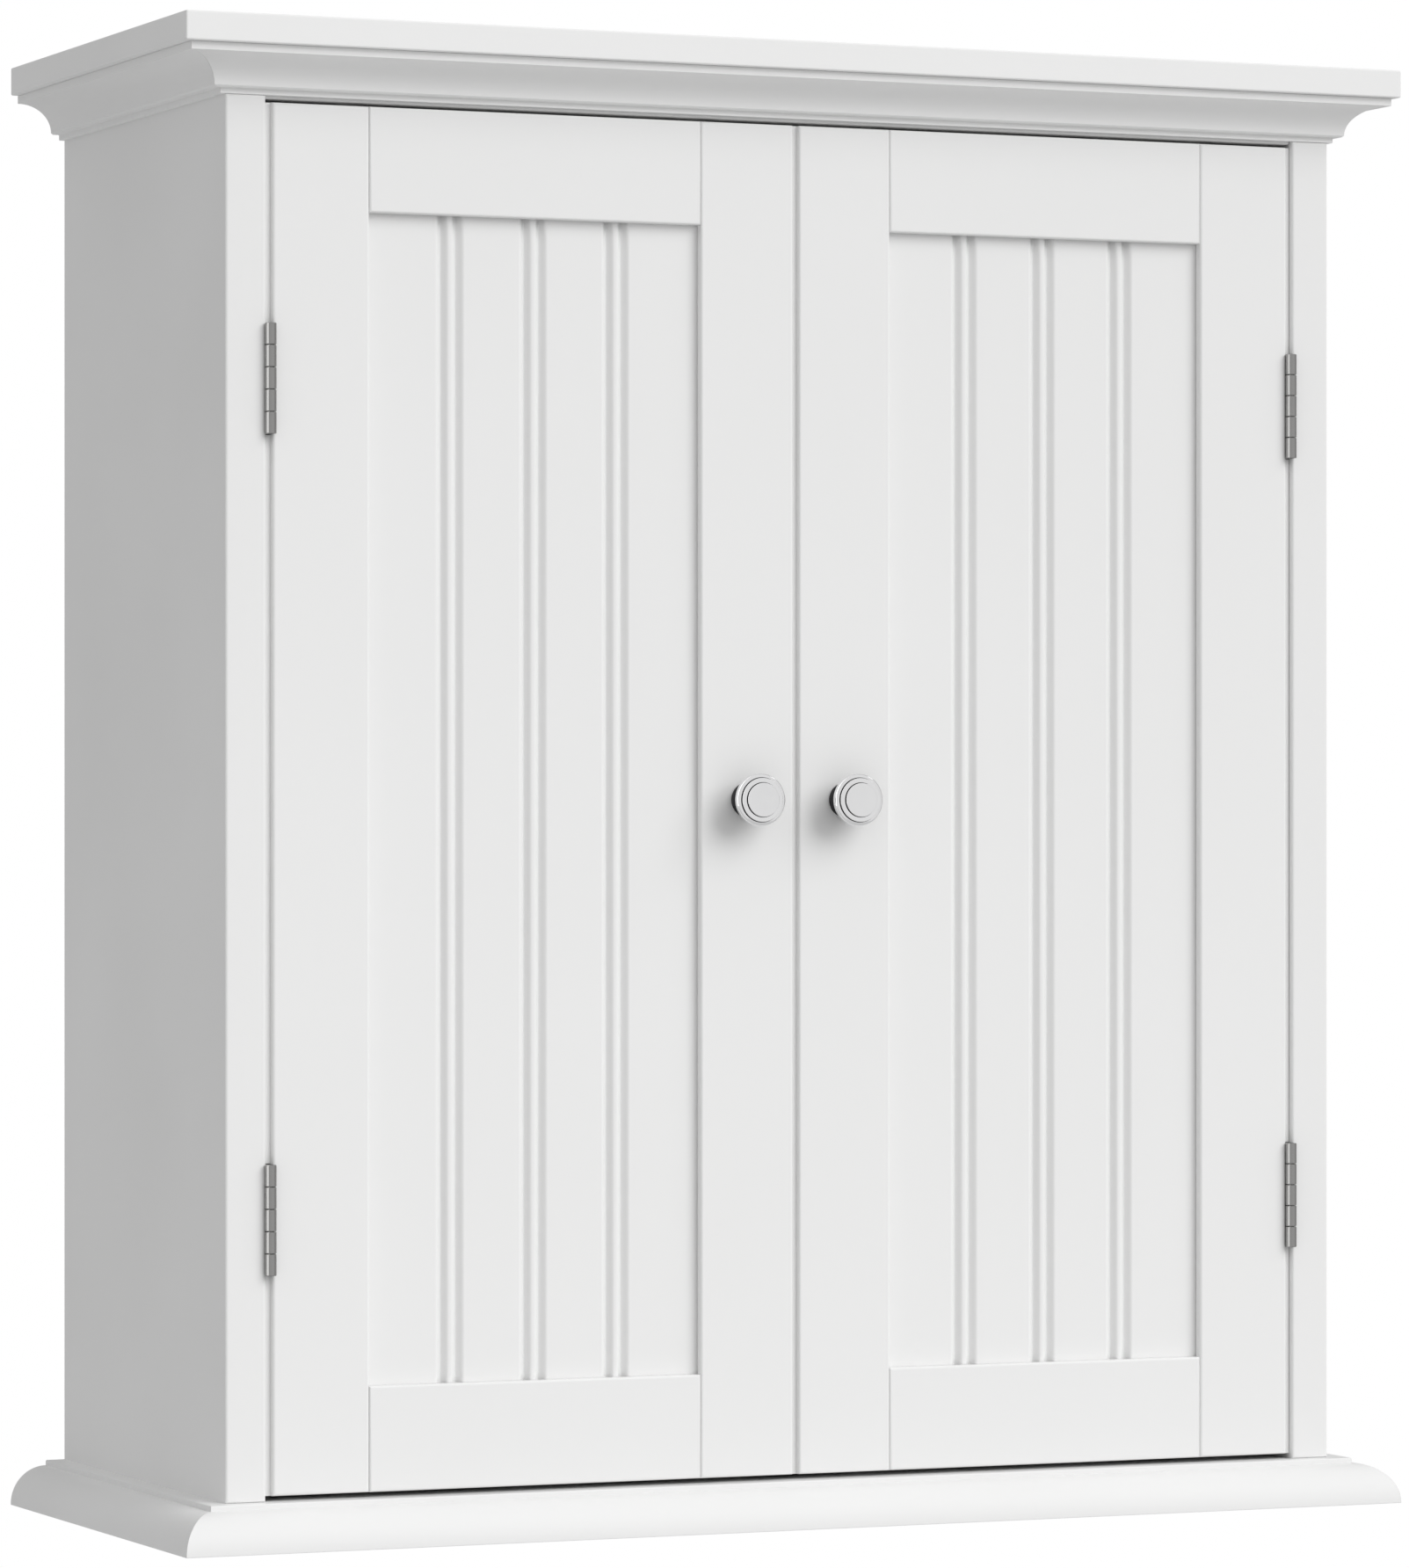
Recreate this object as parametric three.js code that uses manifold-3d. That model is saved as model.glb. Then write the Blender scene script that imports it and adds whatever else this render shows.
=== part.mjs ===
// Hanging wall cabinet: two framed doors with beaded panels on butt hinges, two adjustable shelves,
// a cove crown, a rounded base moulding and a hanging rail at the back.
// Millimetres, +Z up. The front faces -Y, and the origin is the middle of the box's underside.

import * as THREE from 'three';
import { mergeVertices } from 'three/addons/utils/BufferGeometryUtils.js';
import Module from 'manifold-3d';

const wasm = await Module();
wasm.setup();

// ---- driving dimensions -------------------------------------------------------------------------

const HEIGHT = 610;
const BODY_WIDTH = 498;          // outside of one side panel to outside of the other
const BODY_DEPTH = 206;          // door face to the wall
const SIDE_THICKNESS = 17;
const SHELF_THICKNESS = 16;
const GLUE_LINE = 0.1;           // left between boards that are fixed together

const MOULDING_REACH = 23.9;     // how far the crown and base stand out from the side panels
const MOULDING_REBATE = 2.4;     // the front mouldings are let in this far behind the door face
const TOP_BOARD_THICKNESS = 11.7;
const CROWN_HEIGHT = 18.2;
const BASE_HEIGHT = 18.5;
const CARCASS_BOARD = 18;        // the inner bottom board
const TOP_PANEL_THICKNESS = 19.4;  // its front edge shows below the crown, over the doors

const BACK_THICKNESS = 6;
const BACK_RAIL_THICKNESS = 12;
const HANGING_RAIL_HEIGHT = 70;
const LOWER_RAIL_HEIGHT = 45;

const DOOR_GAP = 2.95;           // at each hinge side and between the doors
const DOOR_GAP_TOP = 2.7;
const DOOR_GAP_BOTTOM = 2.2;
const DOOR_THICKNESS = 18;
const STILE_WIDTH = 41.2;
const RAIL_WIDTH = 42.5;
const PANEL_RECESS = 4.5;
const PANEL_THICKNESS = 8;
const PANEL_TONGUE = 8;          // how far the panel and the rails' tenons go into the grooves
const GROOVE_CLEARANCE = 0.3;
const EDGE_RADIUS = 1.2;

const LIP_SET_BACK = 2.7;        // dust lips that close the upright gaps, behind the door face
const LIP_THICKNESS = 3;
const LIP_CLEARANCE = 0.3;       // left between a lip and the board it closes against
const LIP_NOTCH_PLAY = 0.3;      // a hinge's lip is cut away this far past its ends

const BOARDS_PER_PANEL = 4;
const BEAD_HALF_WIDTH = 3.2;
const BEAD_GROUP_HALF_WIDTH = 6.8;
const BEAD_DEPTH = 2.6;
const GROOVE_SHARPNESS = 1.8;    // 1 is a plain half wave; more makes the grooves narrower

const HINGE_LENGTH = 44.5;
const KNUCKLES = 5;
const KNUCKLE_GAP = 0.25;
const BARREL_RADIUS = 2.375;
const BARREL_BORE = 1.2;
const PIN_RADIUS = 1.1;
const PIN_SET_BACK = 0.3;
const HINGE_SPREAD = 168;        // hinge centres above and below the middle of the doors
const HINGE_STAND_OFF = 1.55;    // hinge axis in front of the door face
const LEAF_THICKNESS = 1.2;
const LEAF_DEPTH = 14;
const LEAF_RELIEF = 0.35;        // between a leaf's edge and the other leaf's knuckles
const LEAF_PLAY = 0.02;          // between a leaf and the board it is screwed to
const LEAF_SCREW_RADIUS = 1.6;
const LEAF_SCREW_SPREAD = 14;
const LEAF_SCREW_PLACE = 0.55;   // of the way across the leaf

const KNOB_HEAD_RADIUS = 10.85;
const KNOB_REACH = 17;
const KNOB_SCREW_RADIUS = 2;
const KNOB_SCREW_CLEARANCE = 0.3;
const KNOB_SCREW_ENGAGEMENT = 8;

const SHELF_COUNT = 2;
const SHELF_FRONT_GAP = 14;      // behind the closed doors
const SHELF_SIDE_GAP = 1.5;
const PIN_HOLE_RADIUS = 2.6;
const PIN_HOLE_DEPTH = 10;
const PIN_HOLE_PITCH = 32;
const PIN_HOLES_EACH_WAY = 1;    // spare holes above and below each shelf's own
const PIN_HOLE_INSET = 37;       // from a shelf's front and back edges
const PIN_SPIGOT_RADIUS = 2.4;
const PIN_COLLAR_RADIUS = 2.9;
const PIN_REACH = 9;

const CATCH_WIDTH = 46;
const CATCH_DEPTH = 15;
const CATCH_HEIGHT = 13;
const CATCH_OFFSET = 27;         // from the middle of the cabinet to the middle of a catch
const CATCH_EAR = 9;             // how far each screw lug stands out at the side
const CATCH_EAR_THICKNESS = 3;
const CATCH_EAR_SET_IN = 3;      // from the front and the back of the case
const CATCH_SCREW_RADIUS = 1.8;
const STRIKE_WIDTH = 34;
const STRIKE_HEIGHT = 12;
const STRIKE_THICKNESS = 1.2;
const STRIKE_GAP = 0.5;          // between a strike and its catch with the door shut
const STRIKE_DROP = 2;           // below the top of the door

const HANGER_SPACING = 400;
const HANGER_WIDTH = 20;
const HANGER_HEIGHT = 50;
const HANGER_THICKNESS = 2;
const HANGER_FIT = 0.3;          // round each plate in its pocket
const HANGER_SCREW_RADIUS = 1.8;
const HANGER_SCREW_INSET = 6;
const KEYHOLE_RADIUS = 5;
const KEYHOLE_SLOT_RADIUS = 2.4;
const KEYHOLE_DROP = 12;
const HANGER_POCKET_DEPTH = 8;

// ---- places worked out from them ----------------------------------------------------------------

const frontOverhang = MOULDING_REACH - MOULDING_REBATE;
const boxDepth = BODY_DEPTH + frontOverhang;
const faceY = -boxDepth / 2 + frontOverhang;
const wallY = boxDepth / 2;
const halfBody = BODY_WIDTH / 2;
const halfInside = halfBody - SIDE_THICKNESS;
const mouldingY = faceY + MOULDING_REBATE;

const carcassBottom = BASE_HEIGHT - CARCASS_BOARD;
const crownTop = HEIGHT - TOP_BOARD_THICKNESS;
const boardTop = crownTop - GLUE_LINE;
const crownBottom = crownTop - CROWN_HEIGHT;
const insideTop = crownTop - TOP_PANEL_THICKNESS;
const insideBottom = BASE_HEIGHT;

const doorBottom = BASE_HEIGHT + DOOR_GAP_BOTTOM;
const doorTop = crownBottom - DOOR_GAP_TOP;
const doorHeight = doorTop - doorBottom;
const doorMiddle = (doorTop + doorBottom) / 2;
const doorInner = DOOR_GAP / 2;
const doorOuter = halfInside - DOOR_GAP;
const doorBackY = faceY + DOOR_THICKNESS;

const backPanelY = wallY - BACK_RAIL_THICKNESS - GLUE_LINE;
const backFaceY = backPanelY - BACK_THICKNESS;
const hingeX = halfInside - DOOR_GAP / 2;
const hingeY = faceY - HINGE_STAND_OFF;
const knobX = doorInner + STILE_WIDTH / 2;

// ---- materials ----------------------------------------------------------------------------------

const material = (name, color, roughness, metalness) =>
  new THREE.MeshStandardMaterial({ name, color, roughness, metalness });
const paint = (name) => material(name, 0xebebe9, 0.42, 0);
const nickel = () => material('hinge_nickel', 0xd8d6d0, 0.16, 1);
const chrome = () => material('knob_chrome', 0xdedede, 0.08, 1);
const zinc = () => material('zinc_steel', 0xb9bbbd, 0.35, 1);
const plastic = () => material('catch_plastic', 0xe6e4df, 0.5, 0);

// ---- shape helpers ------------------------------------------------------------------------------

const cabinet = new THREE.Group();

function add(name, geometry, material, x = 0, y = 0, z = 0) {
  const mesh = new THREE.Mesh(geometry, material);
  mesh.name = name;
  mesh.position.set(x, y, z);
  cabinet.add(mesh);
  return mesh;
}

function polygon(points) {
  return new THREE.Shape(points.map(([u, v]) => new THREE.Vector2(u, v)));
}

// A straight piece with the same section all along: the outline is in (x, y) for a piece that runs
// along z, in (y, z) for one along x, and in (x, z) for one along y, which starts at y = 0.
function prism(outline, length, along, bevel = 0) {
  const shape = outline instanceof THREE.Shape ? outline : polygon(outline);
  const geometry = new THREE.ExtrudeGeometry(shape, {
    depth: length - 2 * bevel,
    bevelEnabled: bevel > 0,
    bevelThickness: bevel,
    bevelSize: bevel,
    bevelOffset: -bevel,
    bevelSegments: 2,
    curveSegments: 10,
  });
  geometry.translate(0, 0, bevel);
  if (along === 'x') {
    geometry.applyMatrix4(new THREE.Matrix4().set(0, 0, 1, 0, 1, 0, 0, 0, 0, 1, 0, 0, 0, 0, 0, 1));
  }
  if (along === 'y') {
    geometry.rotateX(Math.PI / 2);
    geometry.translate(0, length, 0);
  }
  return geometry;
}

// A board from its low corner to its high corner, with the edges of its front and back faces eased.
function board(low, high, ease = 0) {
  const [x0, y0, z0] = low;
  const [x1, y1, z1] = high;
  const geometry = prism([[x0, z0], [x1, z0], [x1, z1], [x0, z1]], y1 - y0, 'y', ease);
  geometry.translate(0, y0, 0);
  return geometry;
}

function box(low, high) {
  const size = high.map((value, axis) => value - low[axis]);
  const geometry = new THREE.BoxGeometry(...size);
  geometry.translate(...high.map((value, axis) => (value + low[axis]) / 2));
  return geometry;
}

// A cylinder along a named axis, centred on the given point.
function rod(radius, length, along, centre, sides = 12) {
  const geometry = new THREE.CylinderGeometry(radius, radius, length, sides);
  if (along === 'x') geometry.rotateZ(Math.PI / 2);
  if (along === 'z') geometry.rotateX(Math.PI / 2);
  geometry.translate(...centre);
  return geometry;
}

function arc(centreU, centreV, radiusU, radiusV, fromDegrees, toDegrees, steps) {
  return Array.from({ length: steps + 1 }, (_, step) => {
    const angle = THREE.MathUtils.degToRad(fromDegrees + ((toDegrees - fromDegrees) * step) / steps);
    return [centreU + radiusU * Math.cos(angle), centreV + radiusV * Math.sin(angle)];
  });
}

function solid(geometry) {
  const bare = geometry.index ? geometry.toNonIndexed() : geometry.clone();
  bare.deleteAttribute('normal');
  bare.deleteAttribute('uv');
  const merged = mergeVertices(bare, 1e-4);
  return new wasm.Manifold(new wasm.Mesh({
    numProp: 3,
    vertProperties: new Float32Array(merged.attributes.position.array),
    triVerts: new Uint32Array(merged.index.array),
  }));
}

function carve(base, joins, cuts) {
  let body = solid(base);
  for (const piece of joins) body = body.add(solid(piece));
  for (const piece of cuts) body = body.subtract(solid(piece));
  const mesh = body.getMesh();
  const geometry = new THREE.BufferGeometry();
  geometry.setAttribute('position', new THREE.BufferAttribute(new Float32Array(mesh.vertProperties), 3));
  geometry.setIndex(new THREE.BufferAttribute(new Uint32Array(mesh.triVerts), 1));
  geometry.computeVertexNormals();
  return geometry;
}

// ---- carcass ------------------------------------------------------------------------------------

const shelfFrontY = doorBackY + SHELF_FRONT_GAP;
const shelfBackY = backFaceY - 1;
const shelfPinRows = [shelfFrontY + PIN_HOLE_INSET, shelfBackY - PIN_HOLE_INSET];
const shelfSpan = crownTop - CARCASS_BOARD - insideBottom;
const bayHeight = (shelfSpan - SHELF_COUNT * SHELF_THICKNESS) / (SHELF_COUNT + 1);
const shelfUndersides = Array.from({ length: SHELF_COUNT }, (_, shelf) =>
  insideBottom + bayHeight + shelf * (bayHeight + SHELF_THICKNESS));
const pinHeights = shelfUndersides.map((underside) => underside - GLUE_LINE - PIN_COLLAR_RADIUS);

// One side panel: front corners eased, let in for the mouldings, and drilled for the shelf pins.
function sidePanel(side) {
  const inner = side * halfInside;
  const outer = side * halfBody;
  const low = Math.min(inner, outer);
  const high = Math.max(inner, outer);
  const plan = [
    ...arc(low + EDGE_RADIUS, faceY + EDGE_RADIUS, EDGE_RADIUS, EDGE_RADIUS, 180, 270, 3),
    ...arc(high - EDGE_RADIUS, faceY + EDGE_RADIUS, EDGE_RADIUS, EDGE_RADIUS, 270, 360, 3),
    [high, wallY],
    [low, wallY],
  ];
  const blank = prism(plan, boardTop - carcassBottom, 'z');
  blank.translate(0, 0, carcassBottom);
  const rebate = (z0, z1) => box([low - 1, faceY - 1, z0], [high + 1, mouldingY + GLUE_LINE, z1]);
  const holes = [];
  for (const height of pinHeights) {
    for (let step = -PIN_HOLES_EACH_WAY; step <= PIN_HOLES_EACH_WAY; step += 1) {
      for (const row of shelfPinRows) {
        const middle = [inner + side * (PIN_HOLE_DEPTH / 2 - 1), row, height + step * PIN_HOLE_PITCH];
        holes.push(rod(PIN_HOLE_RADIUS, PIN_HOLE_DEPTH + 2, 'x', middle));
      }
    }
  }
  const rebates = [rebate(crownBottom, boardTop + 1), rebate(carcassBottom - 1, BASE_HEIGHT)];
  return carve(blank, [], [...rebates, ...holes]);
}

add('side_panel_left', sidePanel(-1), paint('carcass_white'));
add('side_panel_right', sidePanel(1), paint('carcass_white'));

const insideFit = halfInside - GLUE_LINE;
const overhangX = halfBody + MOULDING_REACH;

add('top_board', board([-overhangX, faceY - frontOverhang, crownTop], [overhangX, wallY, HEIGHT], 1),
  paint('moulding_white'));
add('top_panel', box([-insideFit, mouldingY + GLUE_LINE, insideTop], [insideFit, backFaceY, boardTop]),
  paint('carcass_white'));
add('bottom_panel',
  box([-insideFit, mouldingY + GLUE_LINE, carcassBottom], [insideFit, backFaceY, BASE_HEIGHT]),
  paint('carcass_white'));
add('back_panel',
  box([-insideFit, backFaceY + GLUE_LINE, carcassBottom], [insideFit, backPanelY, boardTop]),
  paint('carcass_white'));

// ---- crown and base mouldings -------------------------------------------------------------------

// Sections as [distance out from the carcass, height], round stretches as arcs.
const crownSection = [
  [0, crownBottom],
  [2.44, crownBottom],
  [2.44, crownBottom + 2.1],
  [3.4, crownBottom + 2.3],
  ...arc(20.3, crownBottom + 2.9, 14.25, 12.0, 180, 90, 8),
  [20.8, crownTop - 3.3],
  [20.8, boardTop],
  [0, boardTop],
];
const ROUND_LIFT = 0.4;
const baseSection = [
  [0, 0],
  [MOULDING_REACH, 0],
  ...arc(8.4, ROUND_LIFT, MOULDING_REACH - 8.4, 16.3 - ROUND_LIFT, 0, 90, 8),
  [8.4, BASE_HEIGHT],
  [0, BASE_HEIGHT],
];
const MITRE_GAP = 0.15;

// The front length lies along x and is mitred at both ends.
function frontMoulding(section) {
  const geometry = prism(section.map(([out, z]) => [-out, z]).reverse(), 2, 'x');
  const position = geometry.attributes.position;
  for (let i = 0; i < position.count; i += 1) {
    const out = -position.getY(i);
    const end = position.getX(i) < 1 ? -1 : 1;
    position.setX(i, end * (halfBody + out - MITRE_GAP));
    position.setY(i, mouldingY - out);
  }
  geometry.computeVertexNormals();
  return geometry;
}

// A side length runs back to the wall, and is mitred at its front end only.
function sideMoulding(section, side) {
  const outline = section.map(([out, z]) => [side * out, z]);
  const geometry = prism(side > 0 ? outline : outline.reverse(), 2, 'y');
  const position = geometry.attributes.position;
  for (let i = 0; i < position.count; i += 1) {
    const out = side * position.getX(i);
    position.setX(i, side * (halfBody + GLUE_LINE + out * ((MOULDING_REACH - GLUE_LINE) / MOULDING_REACH)));
    const front = mouldingY - out + MITRE_GAP;
    position.setY(i, position.getY(i) < 1 ? front : wallY);
  }
  geometry.computeVertexNormals();
  return geometry;
}

for (const [name, section] of [['crown', crownSection], ['base', baseSection]]) {
  add(`${name}_front`, frontMoulding(section), paint('moulding_white'));
  add(`${name}_left`, sideMoulding(section, -1), paint('moulding_white'));
  add(`${name}_right`, sideMoulding(section, 1), paint('moulding_white'));
}

// ---- hanging rail, keyhole hangers and lower rail -----------------------------------------------

const hangingBottom = boardTop - HANGING_RAIL_HEIGHT;
const hangerMiddle = (boardTop + hangingBottom) / 2;

const hangerPockets = [-1, 1].flatMap((side) => {
  const x = (side * HANGER_SPACING) / 2;
  const halfW = HANGER_WIDTH / 2 + HANGER_FIT;
  const halfH = HANGER_HEIGHT / 2 + HANGER_FIT;
  const shallow = HANGER_THICKNESS + HANGER_FIT;
  return [
    box([x - halfW, wallY - shallow, hangerMiddle - halfH], [x + halfW, wallY + 1, hangerMiddle + halfH]),
    box([x - KEYHOLE_RADIUS - 1, wallY - HANGER_POCKET_DEPTH, hangerMiddle - KEYHOLE_DROP],
      [x + KEYHOLE_RADIUS + 1, wallY + 1, hangerMiddle + KEYHOLE_DROP]),
  ];
});
const railFrontY = wallY - BACK_RAIL_THICKNESS;
const hangingBlank = box([-insideFit, railFrontY, hangingBottom], [insideFit, wallY, boardTop]);
add('hanging_rail', carve(hangingBlank, [], hangerPockets), paint('carcass_white'));
add('lower_back_rail',
  box([-insideFit, railFrontY, carcassBottom], [insideFit, wallY, carcassBottom + LOWER_RAIL_HEIGHT]),
  paint('carcass_white'));

// A flat steel plate with a round hole for the screw's head and a slot above it for its shank.
function hangerPlate() {
  const half = HANGER_WIDTH / 2;
  const plate = polygon([
    ...arc(0, HANGER_HEIGHT / 2 - half, half, half, 0, 180, 8),
    ...arc(0, half - HANGER_HEIGHT / 2, half, half, 180, 360, 8),
  ]);
  const slotAngle = THREE.MathUtils.radToDeg(Math.acos(KEYHOLE_SLOT_RADIUS / KEYHOLE_RADIUS));
  const keyhole = polygon([
    ...arc(0, -KEYHOLE_DROP / 2, KEYHOLE_RADIUS, KEYHOLE_RADIUS, slotAngle, -180 - slotAngle, 12),
    ...arc(0, KEYHOLE_DROP / 2, KEYHOLE_SLOT_RADIUS, KEYHOLE_SLOT_RADIUS, 180, 0, 6),
  ]);
  plate.holes.push(keyhole);
  for (const end of [-1, 1]) {
    const hole = new THREE.Path();
    hole.absarc(0, end * (HANGER_HEIGHT / 2 - HANGER_SCREW_INSET), HANGER_SCREW_RADIUS, 0, Math.PI * 2, true);
    plate.holes.push(hole);
  }
  return prism(plate, HANGER_THICKNESS, 'y');
}
for (const [name, side] of [['wall_hanger_left', -1], ['wall_hanger_right', 1]]) {
  add(name, hangerPlate(), zinc(), (side * HANGER_SPACING) / 2, wallY - HANGER_THICKNESS, hangerMiddle);
}

// ---- shelves and their pins ---------------------------------------------------------------------

const shelfHalf = halfInside - SHELF_SIDE_GAP;
const levels = ['lower', 'upper'];
levels.forEach((level, shelf) => {
  const underside = shelfUndersides[shelf];
  add(`shelf_${level}`,
    board([-shelfHalf, shelfFrontY, underside], [shelfHalf, shelfBackY, underside + SHELF_THICKNESS], 1),
    paint('carcass_white'));
});

// A shelf pin: a round spigot in the hole, a collar against the panel and a short peg under the shelf.
function shelfPin() {
  const inHole = -(PIN_HOLE_DEPTH - 1.5);
  const profile = [
    [0, inHole],
    [PIN_SPIGOT_RADIUS - 0.5, inHole],
    [PIN_SPIGOT_RADIUS, inHole + 0.8],
    [PIN_SPIGOT_RADIUS, GLUE_LINE],
    [PIN_COLLAR_RADIUS, GLUE_LINE],
    [PIN_COLLAR_RADIUS, 1.2],
    [PIN_SPIGOT_RADIUS, 1.2],
    [PIN_SPIGOT_RADIUS, PIN_REACH - 0.8],
    [PIN_SPIGOT_RADIUS - 0.8, PIN_REACH],
    [0, PIN_REACH],
  ];
  return new THREE.LatheGeometry(profile.map(([r, h]) => new THREE.Vector2(r, h)), 12);
}
levels.forEach((level, shelf) => {
  for (const [sideName, side] of [['left', -1], ['right', 1]]) {
    for (const [rowName, row] of [['front', shelfPinRows[0]], ['back', shelfPinRows[1]]]) {
      const pin = add(`shelf_pin_${level}_${sideName}_${rowName}`, shelfPin(), zinc(),
        side * halfInside, row, pinHeights[shelf]);
      pin.rotation.z = (side * Math.PI) / 2;
    }
  }
});

// ---- doors --------------------------------------------------------------------------------------

const grooveFront = faceY + PANEL_RECESS - GROOVE_CLEARANCE;
const grooveBack = faceY + PANEL_RECESS + PANEL_THICKNESS + GROOVE_CLEARANCE;
const grooveDepth = PANEL_TONGUE + GROOVE_CLEARANCE;

const lipReach = DOOR_GAP - LIP_CLEARANCE;
const lipFront = faceY + LIP_SET_BACK;
const lipBack = lipFront + LIP_THICKNESS;

// A stile's plan, with its grooved edge at x = 0 and its outer edge at x = -STILE_WIDTH. A stile with
// a lip closes the gap beside it with a thin strip behind the face.
function stile(grooveTowards, outerEdge, hasLip, holes) {
  const at = (x, y) => [outerEdge + grooveTowards * (x + STILE_WIDTH), y];
  const corner = (x, start, end) =>
    arc(x, faceY + EDGE_RADIUS, EDGE_RADIUS, EDGE_RADIUS, start, end, 3).map(([u, v]) => at(u, v));
  const lip = [
    at(-STILE_WIDTH, lipBack),
    at(-STILE_WIDTH - lipReach, lipBack),
    at(-STILE_WIDTH - lipReach, lipFront),
    at(-STILE_WIDTH, lipFront),
  ];
  const outline = [
    ...corner(-STILE_WIDTH + EDGE_RADIUS, 180, 270),
    ...corner(-EDGE_RADIUS, 270, 360),
    at(0, grooveFront),
    at(-grooveDepth, grooveFront),
    at(-grooveDepth, grooveBack),
    at(0, grooveBack),
    at(0, doorBackY),
    at(-STILE_WIDTH, doorBackY),
    ...(hasLip ? lip : []),
  ];
  if (grooveTowards < 0) outline.reverse();
  const blank = prism(outline, doorHeight, 'z');
  blank.translate(0, 0, doorBottom);
  return holes.length ? carve(blank, [], holes) : blank;
}

// A rail between the stiles, grooved for the panel and with a stub tenon at each end.
function rail(x0, x1, z0, z1, grooveUp) {
  const height = z1 - z0;
  const at = (y, z) => [y, grooveUp ? z0 + z : z1 - z];
  const corner = (z, start, end) =>
    arc(faceY + EDGE_RADIUS, z, EDGE_RADIUS, EDGE_RADIUS, start, end, 3).map(([u, v]) => at(u, v));
  const outline = [
    ...corner(EDGE_RADIUS, 270, 180),
    ...corner(height - EDGE_RADIUS, 180, 90),
    at(grooveFront, height),
    at(grooveFront, height - grooveDepth),
    at(grooveBack, height - grooveDepth),
    at(grooveBack, height),
    at(doorBackY, height),
    at(doorBackY, 0),
  ];
  if (grooveUp) outline.reverse();
  const blank = prism(outline, x1 - x0 - 2 * GLUE_LINE, 'x');
  blank.translate(x0 + GLUE_LINE, 0, 0);
  const tenonFront = grooveFront + GROOVE_CLEARANCE;
  const tenonBack = grooveBack - GROOVE_CLEARANCE;
  const tenonLow = grooveUp ? z0 + 2 : z0 + grooveDepth + GROOVE_CLEARANCE;
  const tenonHigh = grooveUp ? z1 - grooveDepth - GROOVE_CLEARANCE : z1 - 2;
  const tenon = (low, high) => box([low, tenonFront, tenonLow], [high, tenonBack, tenonHigh]);
  return carve(blank, [tenon(x0 - PANEL_TONGUE, x0 + 3), tenon(x1 - 3, x1 + PANEL_TONGUE)], []);
}

// How far the beaded panel's face is sunk at a distance from a joint's middle: a round bead between
// two soft grooves, whose slopes are sharpened half waves.
function beadSink(away) {
  const shoulder = BEAD_GROUP_HALF_WIDTH - BEAD_HALF_WIDTH;
  const turn = away < BEAD_HALF_WIDTH ? away / BEAD_HALF_WIDTH : 1 + (away - BEAD_HALF_WIDTH) / shoulder;
  return BEAD_DEPTH * ((1 - Math.cos(Math.PI * turn)) / 2) ** GROOVE_SHARPNESS;
}

// The beaded panel: flat boards with a bead between two grooves at each joint.
function beadPanel(x0, x1, z0, z1) {
  const front = faceY + PANEL_RECESS;
  const pitch = (x1 - x0) / BOARDS_PER_PANEL;
  const steps = 5;
  const crest = Array.from({ length: steps }, (_, i) => (i * BEAD_HALF_WIDTH) / steps);
  const slope = Array.from({ length: steps + 1 }, (_, i) =>
    BEAD_HALF_WIDTH + (i * (BEAD_GROUP_HALF_WIDTH - BEAD_HALF_WIDTH)) / steps);
  const outwards = [...crest, ...slope];
  const offsets = [...outwards.slice(1).reverse().map((away) => -away), ...outwards];
  const face = [[x0 - PANEL_TONGUE, front]];
  for (let joint = 1; joint < BOARDS_PER_PANEL; joint += 1) {
    const middle = x0 + joint * pitch;
    face.push(...offsets.map((offset) => [middle + offset, front + beadSink(Math.abs(offset))]));
  }
  face.push([x1 + PANEL_TONGUE, front]);
  face.push([x1 + PANEL_TONGUE, front + PANEL_THICKNESS]);
  face.push([x0 - PANEL_TONGUE, front + PANEL_THICKNESS]);
  const geometry = prism(face, z1 - z0 + 2 * PANEL_TONGUE, 'z');
  geometry.translate(0, 0, z0 - PANEL_TONGUE);
  return geometry;
}

// Room in a hinge stile's lip for its two hinges.
function hingeNotches(side) {
  const near = side * doorOuter;
  const far = side * (doorOuter + DOOR_GAP);
  const half = HINGE_LENGTH / 2 + LIP_NOTCH_PLAY;
  return [-1, 1].map((step) => {
    const middle = doorMiddle + step * HINGE_SPREAD;
    return box([Math.min(near, far), lipFront - 0.5, middle - half],
      [Math.max(near, far), lipBack + 0.5, middle + half]);
  });
}

for (const [name, side] of [['left', -1], ['right', 1]]) {
  const knobHole = rod(KNOB_SCREW_RADIUS + KNOB_SCREW_CLEARANCE, 2 * DOOR_THICKNESS, 'y',
    [side * knobX, faceY + DOOR_THICKNESS / 2, doorMiddle]);
  add(`door_${name}_hinge_stile`, stile(-side, side * doorOuter, true, hingeNotches(side)),
    paint('door_white'));
  add(`door_${name}_meeting_stile`, stile(side, side * doorInner, side > 0, [knobHole]), paint('door_white'));
  const inner = side * (doorInner + STILE_WIDTH);
  const outer = side * (doorOuter - STILE_WIDTH);
  const x0 = Math.min(inner, outer);
  const x1 = Math.max(inner, outer);
  add(`door_${name}_top_rail`, rail(x0, x1, doorTop - RAIL_WIDTH, doorTop, false), paint('door_white'));
  add(`door_${name}_bottom_rail`, rail(x0, x1, doorBottom, doorBottom + RAIL_WIDTH, true),
    paint('door_white'));
  add(`door_${name}_bead_panel`, beadPanel(x0, x1, doorBottom + RAIL_WIDTH, doorTop - RAIL_WIDTH),
    paint('door_white'));
}

// ---- hinges -------------------------------------------------------------------------------------

const knucklePitch = HINGE_LENGTH / KNUCKLES;

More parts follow.
